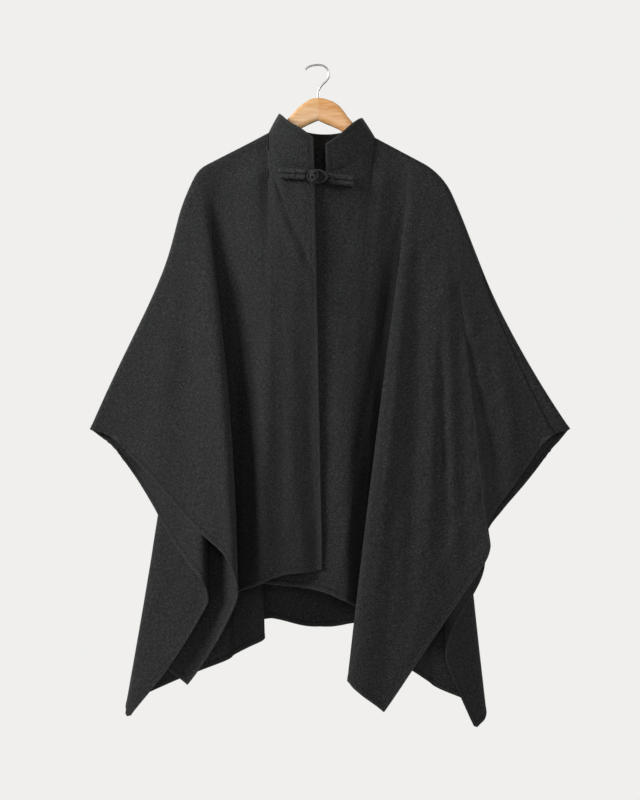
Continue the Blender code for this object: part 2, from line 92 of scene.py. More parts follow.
# Folds. Each row is one line of the cloth from the top edge down to the side edge or the hem:
# start    mm from the neck point along the top edge, negative along the neck edge to its middle
# border   mm from the wrist down the side edge, and then along the hem
# foot_x   where its foot hangs, mm
# foot_y   how far back its foot hangs, mm
# bow      how much more it leans outwards at the top than at the foot, degrees
FRONT_LEFT_FOLDS = (
    ("wrist", 657, 55, -362, -12, 0),
    ("wing", 560, 130, -303, -30, 0),
    ("wing", 460, 200, -255, -47, 0),
    ("wing", 360, 262, -213, -64, 0),
    ("wing", 265, 318, -173, -82, -1),
    ("ridge near", 190, 368, -151, -95, -5),
    ("ridge", 155, 410, -142.7, -88, -9.5),
    ("ridge back", 142, 445, -148, -64, -9),
    ("tuck", 128, 530, -186, -32, -6),
    ("corner", 118, 614, -235.8, -18, -4),
    ("inner turn near", 112, 670, -285, -10, -4),
    ("inner turn", 107, 705, -308, -2, -4),
    ("inner turn far", 102, 735, -304, 6, -4),
    ("behind ridge", 94, 820, -250, 6, -3),
    ("valley", 76, 970, -170, -8, -3),
    ("valley side", 48, 1030, -140, -28, -3),
    ("body ridge", 14, 1075, -114, -49, -2),
    ("neck point", 0, 1100, -98, -49, -1),
    ("body hollow", -26, 1140, -70, -46, -1),
    ("front flute", -62, 1190, -42, -50, 0),
    ("front near", -100, 1235, -12, -47, 0),
    ("front edge", -124, 1271, 7.2, -46, 0),
)
FRONT_RIGHT_FOLDS = (
    ("wrist", 657, 55, 404, -12, 0),
    ("wing", 560, 105, 366, -26, 0),
    ("wing", 450, 150, 337, -38, 0),
    ("second valley", 320, 190, 315, -46, -1),
    ("second ridge", 205, 232, 301, -57, -3),
    ("side flute", 175, 300, 303.7, -55, -3),
    ("wide hollow", 148, 400, 249, -58, -2),
    ("wide flute", 124, 500, 187, -82, -3),
    ("corner", 102, 614, 115.7, -102, -3),
    ("main ridge near", 94, 665, 76, -112, -2),
    ("main ridge", 87, 699, 56.6, -108, -2),
    ("main ridge back", 80, 725, 64, -86, -2),
    ("turn near", 68, 815, 172, -32, -3),
    ("turn", 61, 844, 186, -18, -3),
    ("turn far", 55, 872, 178, -5, -3),
    ("behind ridge", 46, 960, 116, -3, -3),
    ("valley", 30, 1040, 82, -22, -3),
    ("band", 9, 1100, 50, -44, -3),
    ("neck point", 0, 1115, 40, -42, -3),
    ("by the neck", -20, 1142, 14, -39, -3),
    ("under lap", -55, 1186, -27, -31, -4),
    ("under edge near", -95, 1235, -72, -26, -6),
    ("under edge", -124, 1271, -100.8, -24, -8),
)
BACK_LEFT_FOLDS = (
    ("wrist", 657, 60, -365, -1, 0),
    ("wing", 560, 125, -328, 0, 0),
    ("edge bulge", 460, 185, -297, -12, 0),
    ("wing", 370, 240, -273, -25, 0),
    ("wing hollow", 300, 290, -250, -38, -1),
    ("wing", 240, 335, -226, -54, -2),
    ("inner fold near", 205, 370, -206, -66, -3),
    ("inner fold", 188, 402, -197, -59, -4),
    ("inner fold far", 178, 436, -204, -49, -4),
    ("wrap", 155, 560, -268, -35, -3),
    ("corner", 135, 668, -338, -22, -3),
    ("outline fold", 128, 695, -347.6, -4, -3),
    ("outline far", 120, 725, -340, 12, -3),
    ("wall side", 100, 830, -255, 22, -2),
    ("curl near", 85, 925, -170, 21, -2),
    ("curl", 76, 965, -152, 14, -2),
    ("flute", 68, 1020, -122, 1, -2),
    ("flute edge", 58, 1060, -99, 4, -2),
    ("flute back", 50, 1090, -106, 14, -2),
    ("pleat near", 42, 1140, -142, 18, -2),
    ("pleat", 34, 1170, -150, 24, -2),
    ("body", 12, 1236, -104, 27, -1),
    ("neck point", 0, 1253, -90, 26, -1),
    ("neck", -34, 1293, -57, 24, 0),
    ("centre near", -75, 1338, -18, 21, 0),
    ("centre", -98, 1359, 3, 21, 0),
)
BACK_RIGHT_FOLDS = (
    ("wrist", 657, 60, 418, 1, 0),
    ("wing", 570, 120, 378, 2, 0),
    ("wing", 470, 180, 335, -4, 0),
    ("wing hollow", 370, 235, 305, -13, 0),
    ("back flute", 280, 325, 299, -20, -1),
    ("side", 225, 400, 270, -33, -2),
    ("inner fold near", 195, 460, 242, -41, -3),
    ("inner fold", 180, 510, 230.4, -34, -3),
    ("inner fold far", 172, 555, 239.5, -24, -3),
    ("corner", 150, 668, 282.4, -14, -3),
    ("outline fold", 140, 705, 303.9, 0, -3),
    ("outline far", 130, 740, 297, 14, -3),
    ("curl near", 110, 815, 222, 22, -2),
    ("curl", 98, 855, 200, 18, -2),
    ("right flute", 84, 930, 158, 8, -2),
    ("pleat near", 70, 1000, 106, 9, -2),
    ("pleat", 62, 1030, 96, 15, -2),
    ("pleat far", 54, 1060, 104, 21, -2),
    ("pleat back", 42, 1130, 148, 27, -2),
    ("body", 12, 1236, 100, 28, -1),
    ("neck point", 0, 1253, 86, 27, -1),
    ("neck", -34, 1293, 57, 24, 0),
    ("centre near", -75, 1338, 24, 21, 0),
    ("centre", -98, 1359, 3, 21, 0),
)

# Stand collar: its top edge over the neck edge, from the left front edge round to the right one:
# along the neck edge, x, y and z, mm
COLLAR_SEAM = 0.7 * MM
COLLAR_FULLNESS = 0.8 * MM
COLLAR_WAVE = 31 * MM
COLLAR_HEIGHT = 58 * MM
COLLAR_COLUMNS = 260
COLLAR_LEVELS = 46
COLLAR_TOP = (
    ("left front edge", 0, -9, -47, -138),
    ("left front", 34, -29, -45, -123),
    ("left cheek", 79, -53, -32, -107),
    ("left bend", 110, -66, -15, -93),
    ("left tip", 124, -70, 0, -88),
    ("left back bend", 138, -66, 12, -94),
    ("left back", 174, -42, 21, -110),
    ("back middle", 222, 3, 23, -121),
    ("right back", 270, 50, 22, -116),
    ("right back bend", 306, 76, 13, -101),
    ("right tip", 320, 80, 0, -96),
    ("right bend", 334, 76, -15, -99),
    ("right cheek", 365, 60, -30, -112),
    ("right front", 402, 34, -40, -136),
    ("right front edge", 428, 14, -42, -149),
)
NECK_LENGTH = {"front": 124 * MM, "back": 98 * MM}

# Wooden hanger: sections of its arms. Out from the middle joint, top and depth, mm; where no top is
# given, the section carries the cloth and lies just under it.
ARM_JOINT_X = 0.5 * MM
ARM_THICKNESS = 13 * MM
ARM_SEAT = 1.4 * MM
ARM_JOINT_GAP = 0.05 * MM
ARM_RINGS = 90
ARM_SIDES = 48
# Power of the rounded rectangle: 1 is an ellipse, 0 a sharp rectangle
ARM_ROUNDNESS = 0.62
ARM_SECTIONS = {
    "left": ((0, -58.4, 41), (12, -60, 44.6), (24, -66.5, 43.8), (37, -76.5, 41), (56, -97, 37),
             (74, -114, 33), (92, -129, 31), (115, None, 29), (150, None, 26), (190, None, 22),
             (204, None, 17)),
    "right": ((0, -58.4, 41), (12, -60, 45), (28, -66, 45.5), (42, -77, 42), (58, -98, 37),
              (84, -124, 33), (106, -138, 31), (128, None, 29), (160, None, 26), (194, None, 22),
              (206, None, 17)),
}

# Hook: its wire, and its middle line, x and z in mm
WIRE = 3.6 * MM
HOOK_LINE = ((-24, -7.5), (-18, -2.2), (-10, 0.6), (0, 1.8), (10, 0), (17.6, -6.5), (20.5, -16),
             (16.4, -25.8), (7, -35.5), (1.5, -44), (0.5, -50), (0.5, -58.05))
HOOK_STEPS = 260

# Frog: two straps, a knot and the loop that holds it, x and z in mm
STRAPS = {"left": ((-70, -201.5), (-45, -203.5), (-20.4, -205.5)),
          "right": ((18.4, -210.5), (42, -213), (66, -215.5))}
KNOT_PLACE = (-7, -208.5)
KNOT_FORWARD = 3.6 * MM
KNOT_FLATNESS = 0.75
KNOT_FULLNESS = 1.12
LOOP_PLACE = (-1, -208.5)
LOOP_HALF_SIZE = (17.1, 11)
LOOP_EGG = 0.12
LOOP_AVERAGE = 13
# How far a strap stands off its cloth, in cords, how flat its cords are, and what is looked at above
# and below its middle for the cloth
STRAP_STAND_OFF = 0.47
STRAP_FLATNESS = 0.8
STRAP_REACH = 7 * MM
STRAP_STEPS = 41
CLOTH_NEAR = 4 * MM
# Threads round the outer end of a strap: how far in, and their radius
THREAD_PLACES = (2.2 * MM, 3.4 * MM)
THREAD_RADIUS = 0.55 * MM
# Painted light: the cord catches more light than the panels, so all its colours are painted this much paler
CORD_PAINTED_LIGHT = 1.4

# Creases, placed on the flat cut: from one place to another, across from the centre line and
# down, with the half width and the height of the ridge (a trough is negative), all in mm
FRONT_LEFT_CREASES = (
    ("body ridge", 98, 180, 224, 1150, 30, 11),
    ("hollow by the edge", 20, 210, 22, 1000, 30, -11),
    ("below the neck", 118, -110, 136, 360, 42, 13),
    ("drag from the frog", 89, 82, 55, 148, 5, -3.6),
    ("drag to the edge", 80, 112, -6, 275, 6, -3.6),
    ("drag between them", 95, 116, 10, 290, 9, 2.4),
    ("wing crest", 255, 95, 700, 690, 15, 5),
    ("wing hollow", 300, 110, 700, 520, 34, -6),
    ("arm drape", 420, 190, 690, 420, 22, 2.5),
)
FRONT_RIGHT_CREASES = (
    ("band", 63, 230, 243, 1180, 26, 6),
    ("below the neck", 114, -90, 126, 340, 40, 7),
    ("main crest", 222, 130, 560, 790, 12, 4),
    ("first trough", 236, 140, 614, 760, 14, -7),
    ("second flute", 300, 175, 590, 660, 11, 5),
    ("second trough", 352, 258, 600, 620, 9, -4.5),
    ("third flute", 262, 105, 670, 690, 14, 8),
    ("third trough", 350, 200, 710, 455, 16, -9),
    ("fourth flute", 440, 160, 690, 400, 16, 5),
    ("arm trough", 540, 205, 690, 310, 12, -2.5),
)
BACK_LEFT_CREASES = (
    ("body hollow", 60, 150, 95, 1100, 40, -5),
    ("body ridge", 130, 90, 230, 1150, 30, 6),
    ("drag from the neck", 84, 30, 30, 240, 8, -1.8),
    ("wing crest", 260, 110, 700, 720, 18, 4),
    ("wing hollow", 330, 130, 740, 560, 30, -4),
    ("arm drape", 450, 210, 720, 430, 20, 2.5),
)
BACK_RIGHT_CREASES = (
    ("body ridge", 110, 80, 175, 1150, 34, 6),
    ("body trough", 190, 120, 300, 1080, 24, -4),
    ("drag from the neck", 84, 30, 22, 210, 7, -1.6),
    ("wing crest", 290, 140, 690, 790, 16, 4),
    ("wing trough", 330, 170, 700, 700, 12, -3),
    ("second flute", 360, 170, 720, 640, 13, 3),
    ("arm drape", 470, 220, 730, 420, 18, 2.5),
)

# Slow unevenness of hanging cloth: wave lengths across and down the cut, mm, and height, mm
UNEVENNESS = ((173, 410, 1.1), (97, 260, 0.7), (61, 330, 0.45), (230, 150, 0.6), (139, 83, 0.3))

# The top edge is summed up in this many points, and the neck edge falls by this power of its sine
EDGE_POINTS = 439
NECK_FALL_POWER = 1.2

# Finer grids: distance between columns, mm, how many there are in each gap between fold lines at least,
# and how far the points of a column lie from its start and its foot, mm
SPACING = {"front": 5.2, "back": 9.0}
LEAST_PARTS = 4
PANEL_TRIANGLES = 190000
ROLL_STEPS = (0, 0.35, 0.9, 1.8, 3.4, 5.2, 7.2, 10, 13.5, 18, 25)
FOOT_STEPS = (16, 13, 11, 9.5, 8.5, 7.5, 6, 4.5, 3, 1.5, 0)

# The seam over the right arm lies this far in front of the fold at the wrist, and runs out on to it
# at this distance from the neck point
SEAM_FORWARD = 24 * MM
SEAM_RUNS_OUT = 270 * MM
NO_SEAM = 1.0

# Knot of the frog: how many times its cord runs round, the turns that it makes on the way, how far
# it leans to each end of the ball, in radians, and how far it weaves in and out, in radii
KNOT_LEADS = 3
KNOT_BIGHTS = 4
KNOT_LEAN = 1.05
KNOT_WEAVE = 0.13

# Below each neck point the fold is eased: how often depths are averaged, how far to each side in
# full, and how far down it sets in
EASE_ROUNDS = 60
EASE_REACH = 32 * MM
EASE_DOWN = 60 * MM

# Creases set in over this distance from the top edge, by this power
CREASE_DOWN = 60 * MM
CREASE_POWER = 1.5

# The hem thins to the cloth over this width. A rim stands out by this share of half the wall.
HEM_STEP = 1.5 * MM
RIM_REACH = 0.6

# Patterns of the materials: soft clouds and lumps of the nap, lines of stitching and of the seam with painted
# shade, a rim with a painted highlight, growth bands and pores of the wood, smears on the wire, speckles on
# the floor
CLOUD_SIZE = 45 * MM
NAP_LUMP_SIZE = 12 * MM
STITCH_WIDTH = 1.8 * MM
RIM_HIGHLIGHT_WIDTH = 4 * MM
SEAM_WIDTH = 2.4 * MM
GROWTH_WIDTH = 4 * MM
PORE_WIDTH = 0.7 * MM
SMEAR_SIZE = 2 * MM
SPECKLE_SIZE = 20 * MM

# Stage: the middle of the view, x and z, what the lights aim at, and the floor
VIEW_MIDDLE = (3.64 * MM, -608 * MM)
LIGHTS_AIM = (0, 0, -0.6)
SENSOR_HEIGHT = 36
# Lights: x, y and z, size, all in metres, and share of the power. The pair behind lights the back.
LIGHTS = (
    ("left window", -2.3, -1.15, 0.75, 1.0, 1.25),
    ("right window", 2.3, -1.15, 0.85, 1.1, 0.4),
    ("front fill", 0.05, -3.0, 0.1, 0.8, 0.18),
    ("left light behind", -2.1, 1.9, 0.6, 1.2, 0.7),
    ("right light behind", 2.1, 1.9, 0.6, 1.2, 0.5),
)
FLOOR_SIZE = 3.0
FLOOR_Z = -1.75

# Points of the fronts, kept by the panels' step for the frog that lies on them
FRONT_POINTS = {}


# Curves through tables

def smooth(knots, values, at):
    """Smooth curve through the values: cubic spans whose end slopes are three-point slopes."""
    knots = np.asarray(knots, float)
    values = np.asarray(values, float)
    steps = np.diff(knots)
    slopes = np.diff(values) / steps
    inner = (slopes[:-1] * steps[1:] + slopes[1:] * steps[:-1]) / (steps[:-1] + steps[1:])
    ends = np.concatenate(([slopes[0]], inner, [slopes[-1]]))
    span = np.clip(np.searchsorted(knots, at, side="right") - 1, 0, len(steps) - 1)
    h = steps[span]
    u = (at - knots[span]) / h
    return ((1 + 2 * u) * (1 - u) ** 2 * values[span] + u * (1 - u) ** 2 * h * ends[span]
            + u ** 2 * (3 - 2 * u) * values[span + 1] - u ** 2 * (1 - u) * h * ends[span + 1])


def fall(out, start_x, start_z, length, foot_x, bow, t):
    """A line that falls to a foot at foot_x, bowed sideways by a parabola. out is -1 left, 1 right."""
    lean = np.arcsin(out * (foot_x - start_x) / length)
    bend = 0.5 * np.radians(bow) * t * (1 - t)
    x = start_x + out * length * (t * np.sin(lean) + bend * np.cos(lean))
    z = start_z - length * (t * np.cos(lean) - bend * np.sin(lean))
    return x, z


# The top edge: along the shoulder, and on along the neck edge

def top_edge(side):
    """The hanging top edge of one side as points: steps along it, each at its lean, summed up."""
    out = -1 if side == "left" else 1
    distance = np.linspace(0, SEAM_LENGTH, EDGE_POINTS)
    table = np.array(EDGE_LEAN[side], float)
    lean = np.radians(np.interp(distance / MM, table[:, 0], table[:, 1]))
    step = np.diff(distance)
    mid = 0.5 * (lean[:-1] + lean[1:])
    x = NECK_POINT[side][0] + out * np.concatenate(([0], np.cumsum(step * np.sin(mid))))
    z = NECK_POINT[side][1] - np.concatenate(([0], np.cumsum(step * np.cos(mid))))
    return x, z, distance


def edge_distance(side, x, z):
    """Distance of each point from the top edge, seen from the front."""
    edge_x, edge_z, _ = top_edge(side)
    edge_x, edge_z = edge_x[::6], edge_z[::6]
    nearest = np.full(np.shape(x), 1.0)
    for ax, az, bx, bz in zip(edge_x[:-1], edge_z[:-1], edge_x[1:], edge_z[1:]):
        along_x, along_z = bx - ax, bz - az
        part = ((x - ax) * along_x + (z - az) * along_z) / (along_x ** 2 + along_z ** 2)
        part = np.clip(part, 0, 1)
        nearest = np.minimum(nearest, np.hypot(x - ax - part * along_x, z - az - part * along_z))
    return nearest


def neck_edge(face, side, share):
    """The hanging neck edge: share 0 at the neck point, 1 at its middle. Seen from the front it is near
    a quarter of an ellipse, across by a cosine and down by a power of the sine."""
    neck_x, neck_z = NECK_POINT[side]
    middle_x, middle_y, middle_z = NECK_MIDDLE[face, side]
    turn = np.clip(share, 0, 1) * np.pi / 2
    x = middle_x + (neck_x - middle_x) * np.cos(turn)
    y = middle_y * np.sin(turn)
    z = neck_z + (middle_z - neck_z) * np.sin(turn) ** NECK_FALL_POWER
    return x, y, z


def start_points(face, side, start):
    """Where lines start, hanging (x, y, z) and on the flat cut (across, down), for start in metres."""
    edge_x, edge_z, distance = top_edge(side)
    along = np.clip(start, 0, None)
    share = np.clip(-start / NECK_LENGTH[face], 0, 1)
    neck_x, neck_y, neck_z = neck_edge(face, side, share)
    on_neck = start < 0
    x = np.where(on_neck, neck_x, np.interp(along, distance, edge_x))
    z = np.where(on_neck, neck_z, np.interp(along, distance, edge_z))
    y = np.where(on_neck, neck_y, 0)
    across = np.where(on_neck, NECK_HALF_WIDTH * np.cos(share * np.pi / 2),
                      NECK_HALF_WIDTH + along * np.cos(SHOULDER_SLOPE))
    down = np.where(on_neck, NECK_DROP[face] * np.sin(share * np.pi / 2), along * np.sin(SHOULDER_SLOPE))
    return x, y, z, across, down


def cut_corners(face, side):
    """Wrist, outer corner and centre of one half of a face's flat cut, across and down."""
    drop = RIGHT_FRONT_DROP if (face, side) == ("front", "right") else 0
    wrist = (NECK_HALF_WIDTH + SEAM_LENGTH * np.cos(SHOULDER_SLOPE), SEAM_LENGTH * np.sin(SHOULDER_SLOPE))
    return wrist, (CORNER[face][0], CORNER[face][1] + drop), (0, CENTRE_LENGTH[face] + drop)


def border_points(face, side, border):
    """Places on the flat cut: down the side edge from the wrist, then along the hem to the centre. The
    distances along it are those of the left half, also on the right front, which hangs lower."""
    plain = np.array(cut_corners(face, "left"))
    knots = np.concatenate(([0], np.cumsum(np.linalg.norm(np.diff(plain, axis=0), axis=1))))
    across, down = np.array(cut_corners(face, side)).T
    return np.interp(border, knots, across), np.interp(border, knots, down)


# Cloth panels

def spread(rows, spacing):
    """Row numbers of a grid's columns: more of them in a gap whose ends lie further apart on the cut."""
    places = [np.zeros(1)]
    for number, (near, far) in enumerate(zip(rows[:-1], rows[1:])):
        width = max(abs(far[1] - near[1]), abs(far[2] - near[2]))
        parts = max(LEAST_PARTS, int(np.ceil(width / spacing)))
        places.append(number + np.arange(1, parts + 1) / parts)
    return np.concatenate(places)


def levels(count, length):
    """How far down each line its points lie: close together over the rolled edge and at the hem."""
    roll = np.array(ROLL_STEPS) * MM / length[:, None]
    foot = 1 - np.array(FOOT_STEPS) * MM / length[:, None]
    even = np.linspace(0, 1, count - len(ROLL_STEPS) - len(FOOT_STEPS) + 2)[None, 1:-1]
    middle = roll[:, -1:] + even * (foot[:, :1] - roll[:, -1:])
    return np.concatenate((roll, middle, foot), axis=1)


def rolled_edge(face, side, x, z):
    """How far the cloth stands off the hanger's middle plane: a quarter round near the top edge."""
    depth = np.clip(edge_distance(side, x, z), 0, ROLL_RADIUS)
    return ROLL[face] * np.sqrt(1 - (1 - depth / ROLL_RADIUS) ** 2)


def hang(face, side, rows, places, count):
    """A hanging panel as a grid of columns by levels: its points, and their places on the flat cut. Each
    column falls from its start to its foot, as long as it is on the cut. Its depth runs evenly from that
    of its start to that of its foot, and what the rolled edge adds fades by a cube."""
    out = -1 if side == "left" else 1
    numbers = np.arange(len(rows))
    start, border, foot_x, foot_y, bow = (
        smooth(numbers, [row[k] for row in rows], places) for k in range(1, 6))
    start, border, foot_x, foot_y = start * MM, border * MM, foot_x * MM, foot_y * MM
    x0, y0, z0, across, down = start_points(face, side, start)
    foot_across, foot_down = border_points(face, side, border)
    flat_length = np.hypot(foot_across - across, foot_down - down)
    t = levels(count, flat_length)
    length = np.sqrt(flat_length ** 2 - foot_y ** 2)
    column = (slice(None), None)
    x, z = fall(out, x0[column], z0[column], length[column], foot_x[column], bow[column], t)
    y = rolled_edge(face, side, x, z) * (1 - t) ** 3 + y0[column] * (1 - t) + foot_y[column] * t
    y = y + np.sign(ROLL[face]) * EDGE_GAP
    cut = np.stack((across[column] + t * (foot_across - across)[column],
                    down[column] + t * (foot_down - down)[column]), axis=-1)
    return np.stack((x, y, z), axis=-1), cut


def ease_neck(points, cut, start):
    """The fold below the neck point eased: depths averaged with those of the columns beside, again and
    again, fully near the neck point, not at all at twice that distance, and less towards the top edge."""
    run = np.linalg.norm(cut - cut[:, :1], axis=-1)
    share = np.clip(2 - abs(start) / EASE_REACH, 0, 1)[:, None] * np.clip(run / EASE_DOWN, 0, 1)
    y = points[..., 1]
    for _ in range(EASE_ROUNDS):
        y[1:-1] += share[1:-1] * (0.25 * (y[:-2] + y[2:]) - 0.5 * y[1:-1])


def distance_to(cut, start, end):
    """Distance of places on the cut from the straight line between two others, and how far along it."""
    start, end = np.asarray(start), np.asarray(end)
    line = end - start
    along = np.clip(((cut - start) @ line) / (line @ line), 0, 1)
    gap = np.linalg.norm(cut - start - along[..., None] * line, axis=-1)
    return gap, along * np.linalg.norm(line)


def free_edge(face, side, cut):
    """Distance from the nearest free edge of the cut, and how far along that edge: side, hem, front."""
    wrist, corner, centre = cut_corners(face, side)
    gap, along = distance_to(cut, wrist, corner)
    edges = [(corner, centre)]
    if face == "front":
        edges.append((centre, (0, NECK_DROP[face])))
    for start, end in edges:
        other, place = distance_to(cut, start, end)
        along = np.where(other < gap, place, along)
        gap = np.minimum(gap, other)
    return gap, along


def forward_seam(cut):
    """Signed distance from the seam over the right arm, and the distance along it from where it starts."""
    edge = np.array([np.cos(SHOULDER_SLOPE), np.sin(SHOULDER_SLOPE)])
    inward = np.array([-edge[1], edge[0]])
    neck = np.array([NECK_HALF_WIDTH, 0])
    start = neck + SEAM_RUNS_OUT * edge
    end = neck + SEAM_LENGTH * edge + SEAM_FORWARD * inward
    line = (end - start) / np.linalg.norm(end - start)
    along = (cut - start) @ line
    gap = (cut - start) @ np.array([-line[1], line[0]])
    return gap, along


def crease_height(cut, creases):
    """Height of all creases at places on the cut: a bell across each one, that runs out at its ends."""
    height = np.zeros(cut.shape[:2])
    for _, across, down, far_across, far_down, width, rise in creases:
        start = np.array((across, down)) * MM
        end = np.array((far_across, far_down)) * MM
        line = end - start
        share = ((cut - start) @ line) / (line @ line)
        gap = np.abs((cut - start) @ np.array([-line[1], line[0]])) / np.linalg.norm(line)
        run = np.clip(share * (1 - share) * 4, 0, 1)
        height += rise * MM * np.exp(-(gap / (width * MM)) ** 2) * run
    return height


def unevenness(cut):
    """Slow waves of hanging cloth: products of sines across and down the cut."""
    height = np.zeros(cut.shape[:2])
    for number, (wide, long, rise) in enumerate(UNEVENNESS):
        across = np.sin(2 * np.pi * cut[..., 0] / (wide * MM) + 1.7 * number)
        down = np.sin(2 * np.pi * cut[..., 1] / (long * MM) + 0.9 * number + 2 * across)
        height += rise * MM * across * down
    return height


def unit(vectors):
    """Vectors of length one."""
    return vectors / np.maximum(np.linalg.norm(vectors, axis=-1, keepdims=True), 1e-12)


def surface_frame(points):
    """At each point of a grid: the direction along the columns' row, down the column, and the normal."""
    along = unit(np.gradient(points, axis=0))
    down = unit(np.gradient(points, axis=1))
    return along, down, unit(np.cross(along, down))


def grid_quads(index):
    """The four corners of each cell of a grid of point numbers."""
    corners = (index[:-1, :-1], index[1:, :-1], index[1:, 1:], index[:-1, 1:])
    return np.stack(corners, axis=-1).reshape(-1, 4)


def shell(points, half):
    """A closed wall round a middle surface: its points moved half a wall along the normal each way, and
    a rounded rim one row deep. Returns the points, the faces, and each point's place in the grid."""
    columns, count = points.shape[:2]
    along, down, normal = surface_frame(points)
    half = np.broadcast_to(half, (columns, count))[..., None]
    index = np.arange(columns * count).reshape(columns, count)
    quads = grid_quads(index)
    border = np.concatenate((index[:, 0], index[-1, 1:], index[-2::-1, -1], index[0, -2:0:-1]))
    out = np.concatenate((-down[:, 0], along[-1, 1:], down[-2::-1, -1], -along[0, -2:0:-1]))
    flat_points, flat_half = points.reshape(-1, 3), half.reshape(-1, 1)
    rim = flat_points[border] + out * RIM_REACH * flat_half[border]
    total = columns * count
    walls = [(points + way * normal * half).reshape(-1, 3) for way in (1, -1)]
    verts = np.concatenate((*walls, rim))
    number = np.arange(len(border))
    following = np.roll(number, -1)
    near, far = border[number], border[following]
    upper = np.stack((far, near, 2 * total + number, 2 * total + following), axis=-1)
    lower = np.stack((2 * total + following, 2 * total + number, total + near, total + far), axis=-1)
    faces = np.concatenate((quads, total + quads[:, ::-1], upper, lower))
    places = np.concatenate((index.reshape(-1), index.reshape(-1), border))
    return verts, faces, places


def tube_rings(line, radius, sides, closed, flat):
    """Rings of points round a line: each ring is a circle of the given radius, squeezed by flat along
    its second direction, in the plane across the line. The first direction is square to the Y axis."""
    if closed:
        tangent = unit(np.roll(line, -1, axis=0) - np.roll(line, 1, axis=0))
    else:
        tangent = unit(np.gradient(line, axis=0))
    first = unit(np.cross(tangent, (0, 1, 0)))
    second = unit(np.cross(first, tangent))
    turn = np.linspace(0, 2 * np.pi, sides, endpoint=False)
    radius = np.broadcast_to(radius, len(line))[:, None, None]
    circle = (np.cos(turn)[None, :, None] * first[:, None, :]
              + flat * np.sin(turn)[None, :, None] * second[:, None, :])
    return line[:, None, :] + radius * circle


def ring_faces(rings, count, closed):
    """Quads between rings of points, with flat ends where the run isn't closed."""
    index = np.arange(rings * count).reshape(rings, count)
    index = np.concatenate((index, index[:, :1]), axis=1)
    if closed:
        index = np.concatenate((index, index[:1]))
    faces = grid_quads(index).tolist()
    if not closed:
        faces.append(list(range(count)))
        faces.append(list(range((rings - 1) * count, rings * count))[::-1])
    return faces


def make_piece(name, verts, faces, material, replaces, slot, maps=()):
    """A finished piece: a mesh with its faces out, its maps of coordinates, its material and its body."""
    mesh = bpy.data.meshes.new(name)
    mesh.from_pydata(np.asarray(verts).tolist(), [], faces if isinstance(faces, list) else faces.tolist())
    corner = np.zeros(len(mesh.loops), dtype=np.int32)
    mesh.loops.foreach_get("vertex_index", corner)
    for map_name in maps:
        layer = mesh.uv_layers.new(name=map_name)
        layer.uv.foreach_set("vector", np.asarray(maps[map_name], np.float32)[corner].reshape(-1))
    shape = bmesh.new()
    shape.from_mesh(mesh)
    bmesh.ops.recalc_face_normals(shape, faces=shape.faces)
    shape.to_mesh(mesh)
    shape.free()
    mesh.shade_smooth()
    mesh.materials.append(material)
    piece = bpy.data.objects.new(name, mesh)
    bpy.context.scene.collection.objects.link(piece)
    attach(piece, BODY)
    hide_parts(*replaces)
    return piece


def cloth_piece(name, points, half, flat, edge, seam, material, node):
    """A cloth piece from its grid, with maps of the cut, of its free edges and of its seam."""
    verts, faces, places = shell(points, half)
    maps = {"cut": flat, "edge": edge, "seam": seam}
    maps = {key: values.reshape(-1, 2)[places] for key, values in maps.items()}
    return make_piece(name, verts, faces, material, (node,), "wool", maps)


def panel(name, face, sides, material, node):
    """A cloth panel: one or both halves of a face, joined down the middle, with hems and creases."""
    spreads = [spread(rows, SPACING[face]) for _, rows, _ in sides]
    count = PANEL_TRIANGLES // (4 * len(sides) * max(map(len, spreads)))
    ready = []
    for (side, rows, creases), places in zip(sides, spreads):
        points, cut = hang(face, side, rows, places, count)
        ease_neck(points, cut, smooth(np.arange(len(rows)), [row[1] for row in rows], places) * MM)
        gap, along = free_edge(face, side, cut)
        depth = edge_distance(side, points[..., 0], points[..., 2])
        settle = np.clip(depth / CREASE_DOWN, 0, 1) ** CREASE_POWER
        height = crease_height(cut, creases) + unevenness(cut)
        points[..., 1] += np.sign(ROLL[face]) * height * settle
        seam = np.stack(forward_seam(cut), axis=-1) if node == "front_right" else np.full_like(cut, NO_SEAM)
        sign = -1 if side == "left" else 1
        flat = np.stack((sign * cut[..., 0], -cut[..., 1]), axis=-1)
        ready.append([points, flat, np.stack((gap, along), axis=-1), seam])
    if len(ready) == 2:
        ready[1] = [part[::-1][1:] for part in ready[1]]
        ready = [[np.concatenate((left, right)) for left, right in zip(*ready)]]
    points, flat, edge, seam = ready[0]
    props = bpy.context.scene.poncho_cloth
    half = (props.wall + props.hem_extra * np.clip((props.hem_width - edge[..., 0]) / HEM_STEP, 0, 1)) / 2
    return cloth_piece(name, points, half, flat, edge, seam, material, node), points


# Materials

def colour(code):
    """Linear colour of an sRGB hex value."""
    parts = [int(code[k:k + 2], 16) / 255 for k in (1, 3, 5)]
    return tuple(p / 12.92 if p <= 0.04045 else ((p + 0.055) / 1.055) ** 2.4 for p in parts)


def dimmed(shade, share):
    """A colour with each part times a share, and no transparency."""
    return (*(part * share for part in shade), 1)


def add_node(tree, kind, inputs=None, stops=(), **settings):
    """Adds a node with its settings, the stops of its ramp (place, colour) and its inputs. An input is
    a value, an output to link from, or a node whose first output is linked."""
    node = tree.nodes.new(kind)
    for name, value in settings.items():
        setattr(node, name, value)
    elements = node.color_ramp.elements if stops else ()
    while len(elements) < len(stops):
        elements.new(0.5)
    for element, (place, shade) in zip(elements, stops):
        element.position = place
        element.color = (*shade[:3], 1)
    for name, value in (inputs or {}).items():
        if isinstance(value, bpy.types.Node):
            value = value.outputs[0]
        if isinstance(value, bpy.types.NodeSocket):
            tree.links.new(value, node.inputs[name])
        else:
            node.inputs[name].default_value = value
    return node


def start_material(name):
    """An empty material and its nodes."""
    material = bpy.data.materials.new(name)
    material.use_nodes = True
    material.node_tree.nodes.clear()
    return material, material.node_tree


